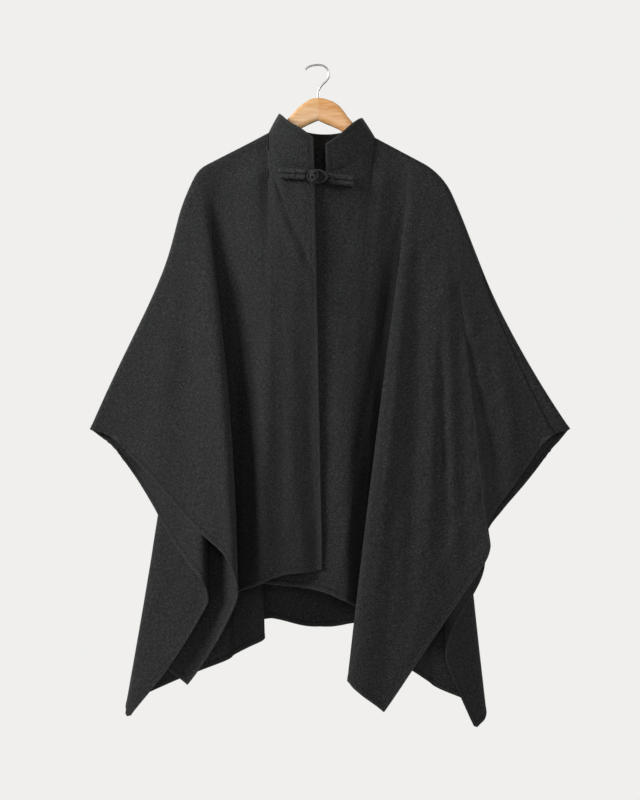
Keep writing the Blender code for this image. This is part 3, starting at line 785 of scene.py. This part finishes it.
def finish_material(material, inputs):
    """Gives a material its surface shader, with what its inputs say, and its output."""
    tree = material.node_tree
    shader = add_node(tree, "ShaderNodeBsdfPrincipled", inputs)
    add_node(tree, "ShaderNodeOutputMaterial", {"Surface": shader})
    return material


def line_mask(tree, distance, middle, width):
    """1 on a line at a distance from an edge, falling to 0 at its width each way, never below."""
    shift = add_node(tree, "ShaderNodeMath", {0: distance, 1: middle}, operation="SUBTRACT")
    away = add_node(tree, "ShaderNodeMath", {0: shift}, operation="ABSOLUTE")
    share = add_node(tree, "ShaderNodeMath", {0: away, 1: width}, operation="DIVIDE")
    return add_node(tree, "ShaderNodeMath", {0: 1.0, 1: share}, operation="SUBTRACT", use_clamp=True)


def wool(name, with_edges, painted_lift=1.0):
    """Wool coating: brushed after weaving, so the threads hardly show. Dark fibres with paler ones mixed
    in give a heathered charcoal, the nap gives a soft pale sheen at grazing angles and no gloss. Real
    fibres are far too fine to show, so the flecks are drawn some millimetres across."""
    props = bpy.context.scene.poncho_cloth
    material, tree = start_material(name)
    if with_edges:
        place = add_node(tree, "ShaderNodeUVMap", uv_map="cut").outputs[0]
    else:
        place = add_node(tree, "ShaderNodeTexCoord").outputs["Object"]
    patterns = []
    for size, detail, roughness, stretch in (
            (props.fleck, 4.0, 0.7, (1.0, 1.0, 1.0)),
            (props.fleck * 0.8, 2.0, 0.6, (1.0, 0.22, 1.0)),
            (props.fleck * 0.9, 2.0, 0.6, (0.3, 1.0, 1.0)),
            (CLOUD_SIZE, 3.0, 0.6, (1.0, 1.0, 1.0)),
            (NAP_LUMP_SIZE, 3.0, 0.6, (1.0, 1.0, 1.0))):
        spread_out = add_node(tree, "ShaderNodeMapping", {"Vector": place, "Scale": stretch})
        patterns.append(add_node(tree, "ShaderNodeTexNoise", {
            "Vector": spread_out, "Scale": 1 / size, "Detail": detail, "Roughness": roughness}))
    fleck, fibres, cross, clouds, lumps = patterns
    threads = add_node(tree, "ShaderNodeMath", {0: fibres, 1: cross}, operation="ADD")
    threads = add_node(tree, "ShaderNodeMath", {0: threads, 1: 0.25}, operation="MULTIPLY")
    mottle = add_node(tree, "ShaderNodeMath", {0: fleck, 1: 0.5, 2: threads}, operation="MULTIPLY_ADD")
    # All the fibre colours are multiplied by the given factor: above 1 this paints light on them, as on the
    # cord
    stops = ((0.38, props.dark), (0.5, props.middle), (0.64, props.pale))
    shade = add_node(tree, "ShaderNodeValToRGB", {"Fac": mottle},
                     stops=[(stop, dimmed(fibre, painted_lift)) for stop, fibre in stops])
    share = add_node(tree, "ShaderNodeMath", {0: clouds, 1: 0.55, 2: -0.1925}, operation="MULTIPLY_ADD")
    shade = add_node(tree, "ShaderNodeMix", {0: share, 6: shade, 7: dimmed(props.middle, 0.55)},
                     data_type="RGBA").outputs[2]
    height = add_node(tree, "ShaderNodeMath", {0: lumps, 1: 0.5}, operation="MULTIPLY")
    height = add_node(tree, "ShaderNodeMath", {0: mottle, 1: props.nap / MM, 2: height},
                      operation="MULTIPLY_ADD")
    if with_edges:
        edge, seam = (add_node(tree, "ShaderNodeUVMap", uv_map=key) for key in ("edge", "seam"))
        edge, seam = (add_node(tree, "ShaderNodeSeparateXYZ", {0: key}) for key in (edge, seam))
        # The hem's stitching: sunk in the bump, and darkened with painted shade where it sinks
        stitch_groove_and_shade = line_mask(tree, edge.outputs["X"], props.hem_width, STITCH_WIDTH)
        # A painted highlight: the free edges are made paler where they catch the light
        rim = line_mask(tree, edge.outputs["X"], 0.0, RIM_HIGHLIGHT_WIDTH)
        # The seam over the right arm: sunk in the bump, and darkened with painted shade along its sunken line
        under_arm = add_node(tree, "ShaderNodeMath", {0: seam.outputs["Y"], 1: 0.0}, operation="GREATER_THAN")
        seam_groove_and_shade = line_mask(tree, seam.outputs["X"], 0.0, SEAM_WIDTH)
        seam_groove_and_shade = add_node(tree, "ShaderNodeMath", {0: seam_groove_and_shade, 1: under_arm}, operation="MULTIPLY")
        # Each line lowers the bump by its rise and tints the colour: painted shade on the stitching and the
        # seam, a painted highlight on the rim
        for line, rise, share, tint in ((stitch_groove_and_shade, -0.45, 0.35, dimmed(props.dark, 0.5)),
                                        (seam_groove_and_shade, -1.6, 0.7, dimmed(props.dark, 0.4)),
                                        (rim, 0.0, 0.3, dimmed(props.pale, 1))):
            height = add_node(tree, "ShaderNodeMath", {0: line, 1: rise, 2: height}, operation="MULTIPLY_ADD")
            part = add_node(tree, "ShaderNodeMath", {0: line, 1: share}, operation="MULTIPLY")
            shade = add_node(tree, "ShaderNodeMix", {0: part, 6: shade, 7: tint}, data_type="RGBA").outputs[2]
    bump = add_node(tree, "ShaderNodeBump", {"Height": height, "Strength": 0.8, "Distance": 1 * MM})
    return finish_material(material, {
        "Base Color": shade, "Normal": bump, "Roughness": 0.92, "IOR": 1.45, "Specular IOR Level": 0.25,
        "Sheen Weight": props.sheen, "Sheen Roughness": 0.55, "Sheen Tint": dimmed(props.pale, 1)})


def varnished_wood(name, pale, dark):
    """Beech under clear satin varnish: turned and sanded smooth, with fine darker pores and soft bands
    of growth along the arm."""
    material, tree = start_material(name)
    place = add_node(tree, "ShaderNodeTexCoord").outputs["Object"]
    along = add_node(tree, "ShaderNodeMapping", {"Vector": place, "Scale": (0.12, 1.0, 1.0)})
    bands = add_node(tree, "ShaderNodeTexNoise", {
        "Vector": along, "Scale": 1 / GROWTH_WIDTH, "Detail": 3.0, "Roughness": 0.5})
    along = add_node(tree, "ShaderNodeMapping", {"Vector": place, "Scale": (0.06, 1.0, 1.0)})
    pores = add_node(tree, "ShaderNodeTexNoise", {
        "Vector": along, "Scale": 1 / PORE_WIDTH, "Detail": 2.0, "Roughness": 0.5})
    shade = add_node(tree, "ShaderNodeValToRGB", {"Fac": bands}, stops=((0.3, dark), (0.62, pale)))
    share = add_node(tree, "ShaderNodeMath", {0: pores, 1: 0.22}, operation="MULTIPLY")
    shade = add_node(tree, "ShaderNodeMix", {0: share, 6: shade, 7: dimmed(dark, 0.6)},
                     data_type="RGBA").outputs[2]
    bump = add_node(tree, "ShaderNodeBump", {"Height": pores, "Strength": 0.25, "Distance": 0.2 * MM})
    return finish_material(material, {"Base Color": shade, "Normal": bump, "Roughness": 0.38, "IOR": 1.5,
                                      "Coat Weight": 0.25, "Coat Roughness": 0.2})


def plated_wire(name):
    """Nickel-plated steel wire: drawn, bent and plated, so bright, with faint smears from handling."""
    material, tree = start_material(name)
    place = add_node(tree, "ShaderNodeTexCoord").outputs["Object"]
    smear = add_node(tree, "ShaderNodeTexNoise", {
        "Vector": place, "Scale": 1 / SMEAR_SIZE, "Detail": 3.0, "Roughness": 0.6})
    shade = add_node(tree, "ShaderNodeValToRGB", {"Fac": smear},
                     stops=((0.3, colour("#b5b4b0")), (0.7, colour("#e6e5e2"))))
    rough = add_node(tree, "ShaderNodeMapRange", {"Value": smear, "To Min": 0.45, "To Max": 0.62})
    return finish_material(material, {"Base Color": shade, "Roughness": rough, "Metallic": 1.0})


def pale_floor():
    """Pale painted floor: matt, with faint speckles."""
    material, tree = start_material("pale_floor")
    place = add_node(tree, "ShaderNodeTexCoord").outputs["Object"]
    speckle = add_node(tree, "ShaderNodeTexNoise", {
        "Vector": place, "Scale": 1 / SPECKLE_SIZE, "Detail": 3.0, "Roughness": 0.55})
    shade = add_node(tree, "ShaderNodeValToRGB", {"Fac": speckle},
                     stops=((0.3, colour("#e4e3e0")), (0.7, colour("#ecebe8"))))
    return finish_material(material, {"Base Color": shade, "Roughness": 0.8})


# Collar

def neck_line(distance):
    """Points of the hanging neck edge, by the distance round it from the left front edge."""
    front, back = NECK_LENGTH["front"], NECK_LENGTH["back"]
    points = np.zeros((len(distance), 3))
    parts = (("front", "left", front - distance, distance <= front),
             ("back", "left", distance - front, (distance > front) & (distance <= front + back)),
             ("back", "right", front + 2 * back - distance,
              (distance > front + back) & (distance < front + 2 * back)),
             ("front", "right", distance - front - 2 * back, distance >= front + 2 * back))
    for face, side, along, chosen in parts:
        x, y, z = neck_edge(face, side, along / NECK_LENGTH[face])
        y = y + rolled_edge(face, side, x, z) + np.sign(ROLL[face]) * EDGE_GAP
        points[chosen] = np.stack((x, y, z), axis=-1)[chosen]
    return points


def collar_points(columns, count):
    """The standing collar, straight from its seam up to its top edge, and full by a sine in the middle of
    its height, a little more and less in slow waves along it."""
    knots = [row[1] * MM for row in COLLAR_TOP]
    distance = np.linspace(knots[0], knots[-1], columns)
    base = neck_line(distance)
    top = np.stack([smooth(knots, [row[k] * MM for row in COLLAR_TOP], distance) for k in (2, 3, 4)], axis=-1)
    base[:, 2] += COLLAR_SEAM
    up = np.linspace(0, 1, count)[None, :, None]
    points = base[:, None, :] * (1 - up) + top[:, None, :] * up
    normal = surface_frame(points)[2]
    middle = points.mean(axis=(0, 1))
    outward = np.sign(((points - middle) * normal).sum(axis=-1, keepdims=True).mean())
    full = COLLAR_FULLNESS * np.sin(np.pi * up) * (1 + 0.5 * np.sin(distance / COLLAR_WAVE))[:, None, None]
    cut = np.stack(np.broadcast_arrays(distance[:, None], up[:, :, 0] * COLLAR_HEIGHT), axis=-1)
    return points + normal * outward * full, cut


def build_collar():
    """The stand collar as one closed wall with rounded edges."""
    props = bpy.context.scene.poncho_cloth
    points, cut = collar_points(COLLAR_COLUMNS, COLLAR_LEVELS)
    gap = np.minimum(COLLAR_HEIGHT - cut[..., 1], np.minimum(cut[..., 0], cut[..., 0].max() - cut[..., 0]))
    edge = np.stack((gap, cut[..., 0]), axis=-1)
    return cloth_piece("collar_cloth", points, props.collar_wall / 2, cut, edge, np.full_like(cut, NO_SEAM),
                       wool("wool_coating_collar", True), "collar")


# Frog closure

def cloth_depth(points, x, z):
    """Foremost y of a panel's grid near a place seen from the front."""
    near = np.hypot(points[..., 0] - x, points[..., 2] - z) < CLOTH_NEAR
    return points[near][:, 1].min() if near.any() else 0.0


def joined(parts):
    """Points and faces of several meshes as one."""
    verts, faces, count = [], [], 0
    for part_verts, part_faces in parts:
        verts.append(np.asarray(part_verts).reshape(-1, 3))
        faces += [[number + count for number in face] for face in part_faces]
        count += len(verts[-1])
    return np.concatenate(verts), faces


def cord_mesh(line, radius, sides=16, closed=False, flat=1.0):
    """A cord along a line, with round ends where it is open: the radius follows a quarter circle."""
    line = np.asarray(line)
    width = np.full(len(line), radius)
    if not closed:
        run = np.concatenate(([0], np.cumsum(np.linalg.norm(np.diff(line, axis=0), axis=1))))
        for place in (run, run[-1] - run):
            share = np.clip(place / radius, 0, 1)
            width = np.minimum(width, radius * np.sqrt(np.clip(1 - (1 - share) ** 2, 0.0025, 1)))
    rings = tube_rings(line, width, sides, closed, flat)
    return rings.reshape(-1, 3), ring_faces(len(line), sides, closed)


def frog_strap(points, side, cord):
    """One strap: two cords side by side that follow the cloth, and threads wound round their outer end.
    Returns its parts, and the depth of the middle line along it."""
    places = np.array(STRAPS[side], float) * MM
    at = np.linspace(0, len(places) - 1, STRAP_STEPS)
    x, z = (smooth(np.arange(len(places)), places[:, k], at) for k in range(2))
    cloth = [min(cloth_depth(points, px, pz + step) for step in (-STRAP_REACH, 0, STRAP_REACH))
             for px, pz in zip(x, z)]
    y = np.array(cloth) - WALL / 2 - cord * STRAP_STAND_OFF
    parts = []
    for offset in (-1, 1):
        wave = 0.25 * MM * np.sin(at * 9 + offset)
        line = np.stack((x, y, z + offset * (cord / 2 - 0.15 * MM) + wave), axis=-1)
        parts.append(cord_mesh(line, cord / 2, 16, flat=STRAP_FLATNESS))
    end, inward = (0, 1) if side == "left" else (-1, -1)
    high = np.linspace(-1, 1, 17) * (cord - 0.2 * MM)
    for shift in THREAD_PLACES:
        line = np.stack((np.full(17, x[end] + inward * shift),
                         y[end] - cord * 0.30 + (high / cord) ** 2 * 0.8 * MM, z[end] + high), axis=-1)
        parts.append(cord_mesh(line, THREAD_RADIUS, 8))
    return parts, y


def frog_knot(depth, props):
    """The knot: one cord that winds round a ball, leaning to each end of it by a sine, over and under
    itself by a second sine of its radius."""
    turn = np.linspace(0, 2 * np.pi * KNOT_LEADS, 240, endpoint=False)
    wind = turn * KNOT_BIGHTS / KNOT_LEADS
    lean = KNOT_LEAN * np.sin(wind)
    reach = props.knot * (1 + KNOT_WEAVE * np.sin(2 * wind + np.pi / 2))
    line = np.stack((KNOT_PLACE[0] * MM + reach * np.sin(lean),
                     depth - KNOT_FORWARD + KNOT_FLATNESS * reach * np.cos(lean) * np.cos(turn),
                     KNOT_PLACE[1] * MM + KNOT_FULLNESS * reach * np.cos(lean) * np.sin(turn)), axis=-1)
    return cord_mesh(line, props.knot_cord / 2, 12, closed=True)


def frog_loop(depth, fronts, props):
    """The loop round the knot: an egg-shaped ring that lies on the cloth, its depth averaged along it."""
    turn = np.linspace(0, 2 * np.pi, 96, endpoint=False)
    x = (LOOP_PLACE[0] + LOOP_HALF_SIZE[0] * np.cos(turn)) * MM
    z = (LOOP_PLACE[1] + LOOP_HALF_SIZE[1] * np.sin(turn) * (1 - LOOP_EGG * np.cos(turn))) * MM
    cloth = np.array([min(cloth_depth(fronts[side], px, pz) for side in fronts) for px, pz in zip(x, z)])
    y = np.minimum(depth, cloth - WALL / 2 - props.loop_cord / 2)
    around = LOOP_AVERAGE // 2
    y = np.convolve(np.concatenate((y[-around:], y, y[:around])), np.full(LOOP_AVERAGE, 1 / LOOP_AVERAGE),
                    mode="valid")
    return cord_mesh(np.stack((x, y - 0.3 * MM, z), axis=-1), props.loop_cord / 2, 14, closed=True)


def build_frog(fronts):
    """The frog: two straps of doubled cord with whipped ends, a knot of interlaced cord, and its loop."""
    props = bpy.context.scene.poncho_frog
    # Its colours are made paler with painted light, as the cord catches more light
    material = wool("wool_cord", False, CORD_PAINTED_LIGHT)
    depths = {}
    for side in ("left", "right"):
        parts, depths[side] = frog_strap(fronts[side], side, props.cord)
        make_piece("frog_tab_" + side, *joined(parts), material, ("frog_strap_" + side,), "frog")
    depth = min(depths["left"][-1], depths["right"][0])
    make_piece("frog_button_knot", *frog_knot(depth, props), material, ("frog_knot",), "frog")
    make_piece("frog_cord_loop", *frog_loop(depth, fronts, props), material, ("frog_loop",), "frog")


# Hanger

def arm_rings(side):
    """Rings of one wooden arm: rounded rectangles from the middle joint out under the shoulder."""
    out = -1 if side == "left" else 1
    edge_x, edge_z, _ = top_edge(side)
    order = np.argsort(edge_x)
    rows = []
    for reach, top, depth in ARM_SECTIONS[side]:
        x = ARM_JOINT_X + out * max(reach * MM, ARM_JOINT_GAP / 2)
        under = np.interp(x, edge_x[order], edge_z[order]) - WALL / 2 - ARM_SEAT
        rows.append((x, under if top is None else top * MM, depth * MM))
    rows = np.array(rows)
    numbers = np.arange(len(rows))
    last = len(rows) - 1
    places = np.concatenate(([0, 0.01], np.linspace(0.04, last - 0.04, ARM_RINGS - 4), [last - 0.01, last]))
    x, top, depth = (smooth(numbers, rows[:, k], places) for k in range(3))
    turn = np.linspace(0, 2 * np.pi, ARM_SIDES, endpoint=False) + np.pi / ARM_SIDES
    across = np.sign(np.cos(turn)) * abs(np.cos(turn)) ** ARM_ROUNDNESS
    high = np.sign(np.sin(turn)) * abs(np.sin(turn)) ** ARM_ROUNDNESS
    return np.stack(np.broadcast_arrays(
        x[:, None], across * ARM_THICKNESS / 2,
        (top - depth / 2)[:, None] + high * depth[:, None] / 2 / high.max()), axis=-1)


def build_arms():
    """Both arms of the hanger, each a piece of its own, the left one coloured paler than the right."""
    props = bpy.context.scene.poncho_hanger
    for side in ("left", "right"):
        pale, dark = (tuple(getattr(props, side + "_" + tone)) for tone in ("pale", "dark"))
        verts, faces = arm_rings(side).reshape(-1, 3), ring_faces(ARM_RINGS, ARM_SIDES, False)
        material = varnished_wood("varnished_beech_" + side, pale, dark)
        make_piece("wood_arm_" + side, verts, faces, material, ("hanger_arm_" + side,), "hanger_wood")


def build_hook():
    """The wire hook, smooth through its points, with its free end rounded."""
    line = np.array(HOOK_LINE) * MM
    places = np.linspace(0, len(line) - 1, HOOK_STEPS)
    x, z = (smooth(np.arange(len(line)), line[:, k], places) for k in range(2))
    verts, faces = cord_mesh(np.stack((x, np.zeros(HOOK_STEPS), z), axis=-1), WIRE / 2, 20)
    make_piece("wire_hook", verts, faces, plated_wire("nickel_plated_wire"), ("hook",), "hook_wire")


# Stage

def add_area_light(name, place, target, size, power):
    """A square soft light at a place, aimed at a target."""
    light = bpy.data.lights.new(name, "AREA")
    light.shape = "SQUARE"
    light.size = size
    light.energy = power
    lamp = bpy.data.objects.new(name, light)
    lamp.location = place
    lamp.rotation_euler = (Vector(target) - Vector(place)).to_track_quat("-Z", "Y").to_euler()
    bpy.context.scene.collection.objects.link(lamp)


def build_stage(context):
    """A level camera on the object's front, a pale room, soft lights all round, and a floor far below."""
    props = context.scene.poncho_stage
    camera = bpy.data.cameras.new("camera")
    camera.sensor_fit = "VERTICAL"
    camera.sensor_height = SENSOR_HEIGHT
    camera.lens = SENSOR_HEIGHT * props.camera_distance / props.view_height
    view = bpy.data.objects.new("camera", camera)
    view.location = (VIEW_MIDDLE[0], -props.camera_distance, VIEW_MIDDLE[1])
    view.rotation_euler = (np.pi / 2, 0, 0)
    context.scene.collection.objects.link(view)
    context.scene.camera = view
    world = bpy.data.worlds.new("pale_room")
    world.use_nodes = True
    tree = world.node_tree
    tree.nodes["Background"].inputs["Color"].default_value = (*props.backdrop, 1)
    seen = add_node(tree, "ShaderNodeLightPath").outputs["Is Camera Ray"]
    strength = add_node(tree, "ShaderNodeMapRange", {"Value": seen, "To Min": props.ambient, "To Max": 1.0})
    tree.links.new(strength.outputs[0], tree.nodes["Background"].inputs["Strength"])
    context.scene.world = world
    context.scene.view_settings.view_transform = "Standard"
    for name, x, y, z, size, share in LIGHTS:
        add_area_light(name, (x, y, z), LIGHTS_AIM, size, props.key_power * share)
    size = FLOOR_SIZE / 2
    mesh = bpy.data.meshes.new("floor")
    mesh.from_pydata([(-size, -size, FLOOR_Z), (size, -size, FLOOR_Z), (size, size, FLOOR_Z),
                      (-size, size, FLOOR_Z)], [], [(0, 1, 2, 3)])
    floor = bpy.data.objects.new("floor", mesh)
    context.scene.collection.objects.link(floor)
    mesh.materials.append(pale_floor())


# What a user would change

class PonchoCloth(bpy.types.PropertyGroup):
    wall: bpy.props.FloatProperty(
        name="Cloth thickness", description="Thickness of the brushed wool coating",
        default=WALL, min=0.001, max=0.003, subtype="DISTANCE", unit="LENGTH")
    collar_wall: bpy.props.FloatProperty(
        name="Collar thickness", description="Thickness of the doubled cloth of the collar",
        default=0.0029, min=0.001, max=0.005, subtype="DISTANCE", unit="LENGTH")
    hem_width: bpy.props.FloatProperty(
        name="Hem width", description="Width of the narrow hem round every free edge",
        default=0.0085, min=0.002, max=0.03, subtype="DISTANCE", unit="LENGTH")
    hem_extra: bpy.props.FloatProperty(
        name="Hem thickness", description="How much thicker the hem is than the cloth",
        default=0.0009, min=0.0, max=0.003, subtype="DISTANCE", unit="LENGTH")
    fleck: bpy.props.FloatProperty(
        name="Fleck size", description="Size of the lighter and darker flecks of fibre",
        default=0.0024, min=0.0005, max=0.02, subtype="DISTANCE", unit="LENGTH")
    nap: bpy.props.FloatProperty(
        name="Nap", description="Height of the brushed nap in the bump",
        default=0.0016, min=0.0, max=0.005, subtype="DISTANCE", unit="LENGTH")
    sheen: bpy.props.FloatProperty(
        name="Sheen", description="Strength of the soft sheen of the nap", default=0.08, min=0.0, max=1.0)
    dark: bpy.props.FloatVectorProperty(
        name="Dark fibre", description="Colour of the darkest fibres", subtype="COLOR",
        default=colour("#131313"), min=0.0, max=1.0)
    middle: bpy.props.FloatVectorProperty(
        name="Charcoal", description="Main colour of the cloth", subtype="COLOR",
        default=colour("#272828"), min=0.0, max=1.0)
    pale: bpy.props.FloatVectorProperty(
        name="Pale fibre", description="Colour of the pale fibres mixed in", subtype="COLOR",
        default=colour("#464746"), min=0.0, max=1.0)


class PonchoFrog(bpy.types.PropertyGroup):
    cord: bpy.props.FloatProperty(
        name="Strap cord", description="Thickness of each of the two cords of a strap",
        default=0.0098, min=0.002, max=0.012, subtype="DISTANCE", unit="LENGTH")
    knot: bpy.props.FloatProperty(
        name="Knot", description="Radius of the knot to the middle of its cord",
        default=0.007, min=0.002, max=0.012, subtype="DISTANCE", unit="LENGTH")
    knot_cord: bpy.props.FloatProperty(
        name="Knot cord", description="Thickness of the cord that the knot is tied of",
        default=0.0052, min=0.001, max=0.008, subtype="DISTANCE", unit="LENGTH")
    loop_cord: bpy.props.FloatProperty(
        name="Loop cord", description="Thickness of the loop's cord",
        default=0.0044, min=0.001, max=0.008, subtype="DISTANCE", unit="LENGTH")


class PonchoHanger(bpy.types.PropertyGroup):
    left_pale: bpy.props.FloatVectorProperty(
        name="Left arm, pale", description="Paler wood of the left arm", subtype="COLOR",
        default=colour("#f9cc9a"), min=0.0, max=1.0)
    left_dark: bpy.props.FloatVectorProperty(
        name="Left arm, grain", description="Darker grain of the left arm", subtype="COLOR",
        default=colour("#e5ab6b"), min=0.0, max=1.0)
    right_pale: bpy.props.FloatVectorProperty(
        name="Right arm, pale", description="Paler wood of the right arm", subtype="COLOR",
        default=colour("#f5bd82"), min=0.0, max=1.0)
    right_dark: bpy.props.FloatVectorProperty(
        name="Right arm, grain", description="Darker grain of the right arm", subtype="COLOR",
        default=colour("#e09c57"), min=0.0, max=1.0)


class PonchoStage(bpy.types.PropertyGroup):
    camera_distance: bpy.props.FloatProperty(
        name="Camera distance", description="From the camera to the hanger's plane",
        default=2.7, min=0.5, max=20.0, subtype="DISTANCE", unit="LENGTH")
    view_height: bpy.props.FloatProperty(
        name="View height", description="Height of the picture at the hanger's plane",
        default=1.456, min=0.2, max=10.0, subtype="DISTANCE", unit="LENGTH")
    key_power: bpy.props.FloatProperty(
        name="Lights", description="Power that the lights share, in watts",
        default=76.0, min=0.0, max=1000.0)
    ambient: bpy.props.FloatProperty(
        name="Ambient light", description="Share of the surroundings' brightness that lights the object",
        default=0.03, min=0.0, max=2.0)
    backdrop: bpy.props.FloatVectorProperty(
        name="Surroundings", description="Pale colour of the room round the object", subtype="COLOR",
        default=colour("#f0efed"), min=0.0, max=1.0)


# Operators

class PONCHO_OT_panels(bpy.types.Operator):
    """Build the two fronts and the back"""
    bl_idname = "poncho.panels"
    bl_label = "Cloth Panels"

    def execute(self, context):
        material = wool("wool_coating", True)
        sides = {"left": ("left", FRONT_LEFT_FOLDS, FRONT_LEFT_CREASES),
                 "right": ("right", FRONT_RIGHT_FOLDS, FRONT_RIGHT_CREASES)}
        for side, rows in sides.items():
            name = "front_cloth_" + side
            piece, FRONT_POINTS[side] = panel(name, "front", [rows], material, "front_" + side)
        halves = [("left", BACK_LEFT_FOLDS, BACK_LEFT_CREASES),
                  ("right", BACK_RIGHT_FOLDS, BACK_RIGHT_CREASES)]
        piece, _ = panel("back_cloth", "back", halves, material, "back")
        return {"FINISHED"}


class PONCHO_OT_collar(bpy.types.Operator):
    """Build the stand collar on the neck edge"""
    bl_idname = "poncho.collar"
    bl_label = "Stand Collar"

    def execute(self, context):
        build_collar()
        return {"FINISHED"}


class PONCHO_OT_frog(bpy.types.Operator):
    """Build the frog closure on the fronts"""
    bl_idname = "poncho.frog"
    bl_label = "Frog Closure"

    def execute(self, context):
        build_frog(FRONT_POINTS)
        return {"FINISHED"}


class PONCHO_OT_hanger(bpy.types.Operator):
    """Build the wooden hanger and its wire hook"""
    bl_idname = "poncho.hanger"
    bl_label = "Hanger"

    def execute(self, context):
        build_arms()
        build_hook()
        return {"FINISHED"}


class PONCHO_OT_stage(bpy.types.Operator):
    """Set the camera, the lights, the pale surroundings and the floor"""
    bl_idname = "poncho.stage"
    bl_label = "Stage"

    def execute(self, context):
        build_stage(context)
        return {"FINISHED"}


class PONCHO_PT_panel(bpy.types.Panel):
    """Sizes, colours and steps of the poncho"""
    bl_idname = "PONCHO_PT_panel"
    bl_label = "Poncho on a Hanger"
    bl_space_type = "VIEW_3D"
    bl_region_type = "UI"
    bl_category = "Poncho"

    def draw(self, context):
        scene = context.scene
        for group in (scene.poncho_cloth, scene.poncho_frog, scene.poncho_hanger, scene.poncho_stage):
            box = self.layout.box()
            for name in group.__annotations__:
                box.prop(group, name)
        for operator in OPERATORS:
            self.layout.operator(operator.bl_idname)


OPERATORS = (PONCHO_OT_panels, PONCHO_OT_collar, PONCHO_OT_frog, PONCHO_OT_hanger, PONCHO_OT_stage)
GROUPS = {"poncho_cloth": PonchoCloth, "poncho_frog": PonchoFrog, "poncho_hanger": PonchoHanger,
          "poncho_stage": PonchoStage}


def register():
    for group in GROUPS.values():
        bpy.utils.register_class(group)
    for name, group in GROUPS.items():
        setattr(bpy.types.Scene, name, bpy.props.PointerProperty(type=group))
    for item in (*OPERATORS, PONCHO_PT_panel):
        bpy.utils.register_class(item)


def unregister():
    for item in (PONCHO_PT_panel, *reversed(OPERATORS)):
        bpy.utils.unregister_class(item)
    for name, group in reversed(GROUPS.items()):
        delattr(bpy.types.Scene, name)
        bpy.utils.unregister_class(group)


def main():
    """Registers everything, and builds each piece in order."""
    register()
    bpy.ops.poncho.panels()
    bpy.ops.poncho.collar()
    bpy.ops.poncho.frog()
    bpy.ops.poncho.hanger()
    bpy.ops.poncho.stage()


if __name__ == "__main__":
    main()
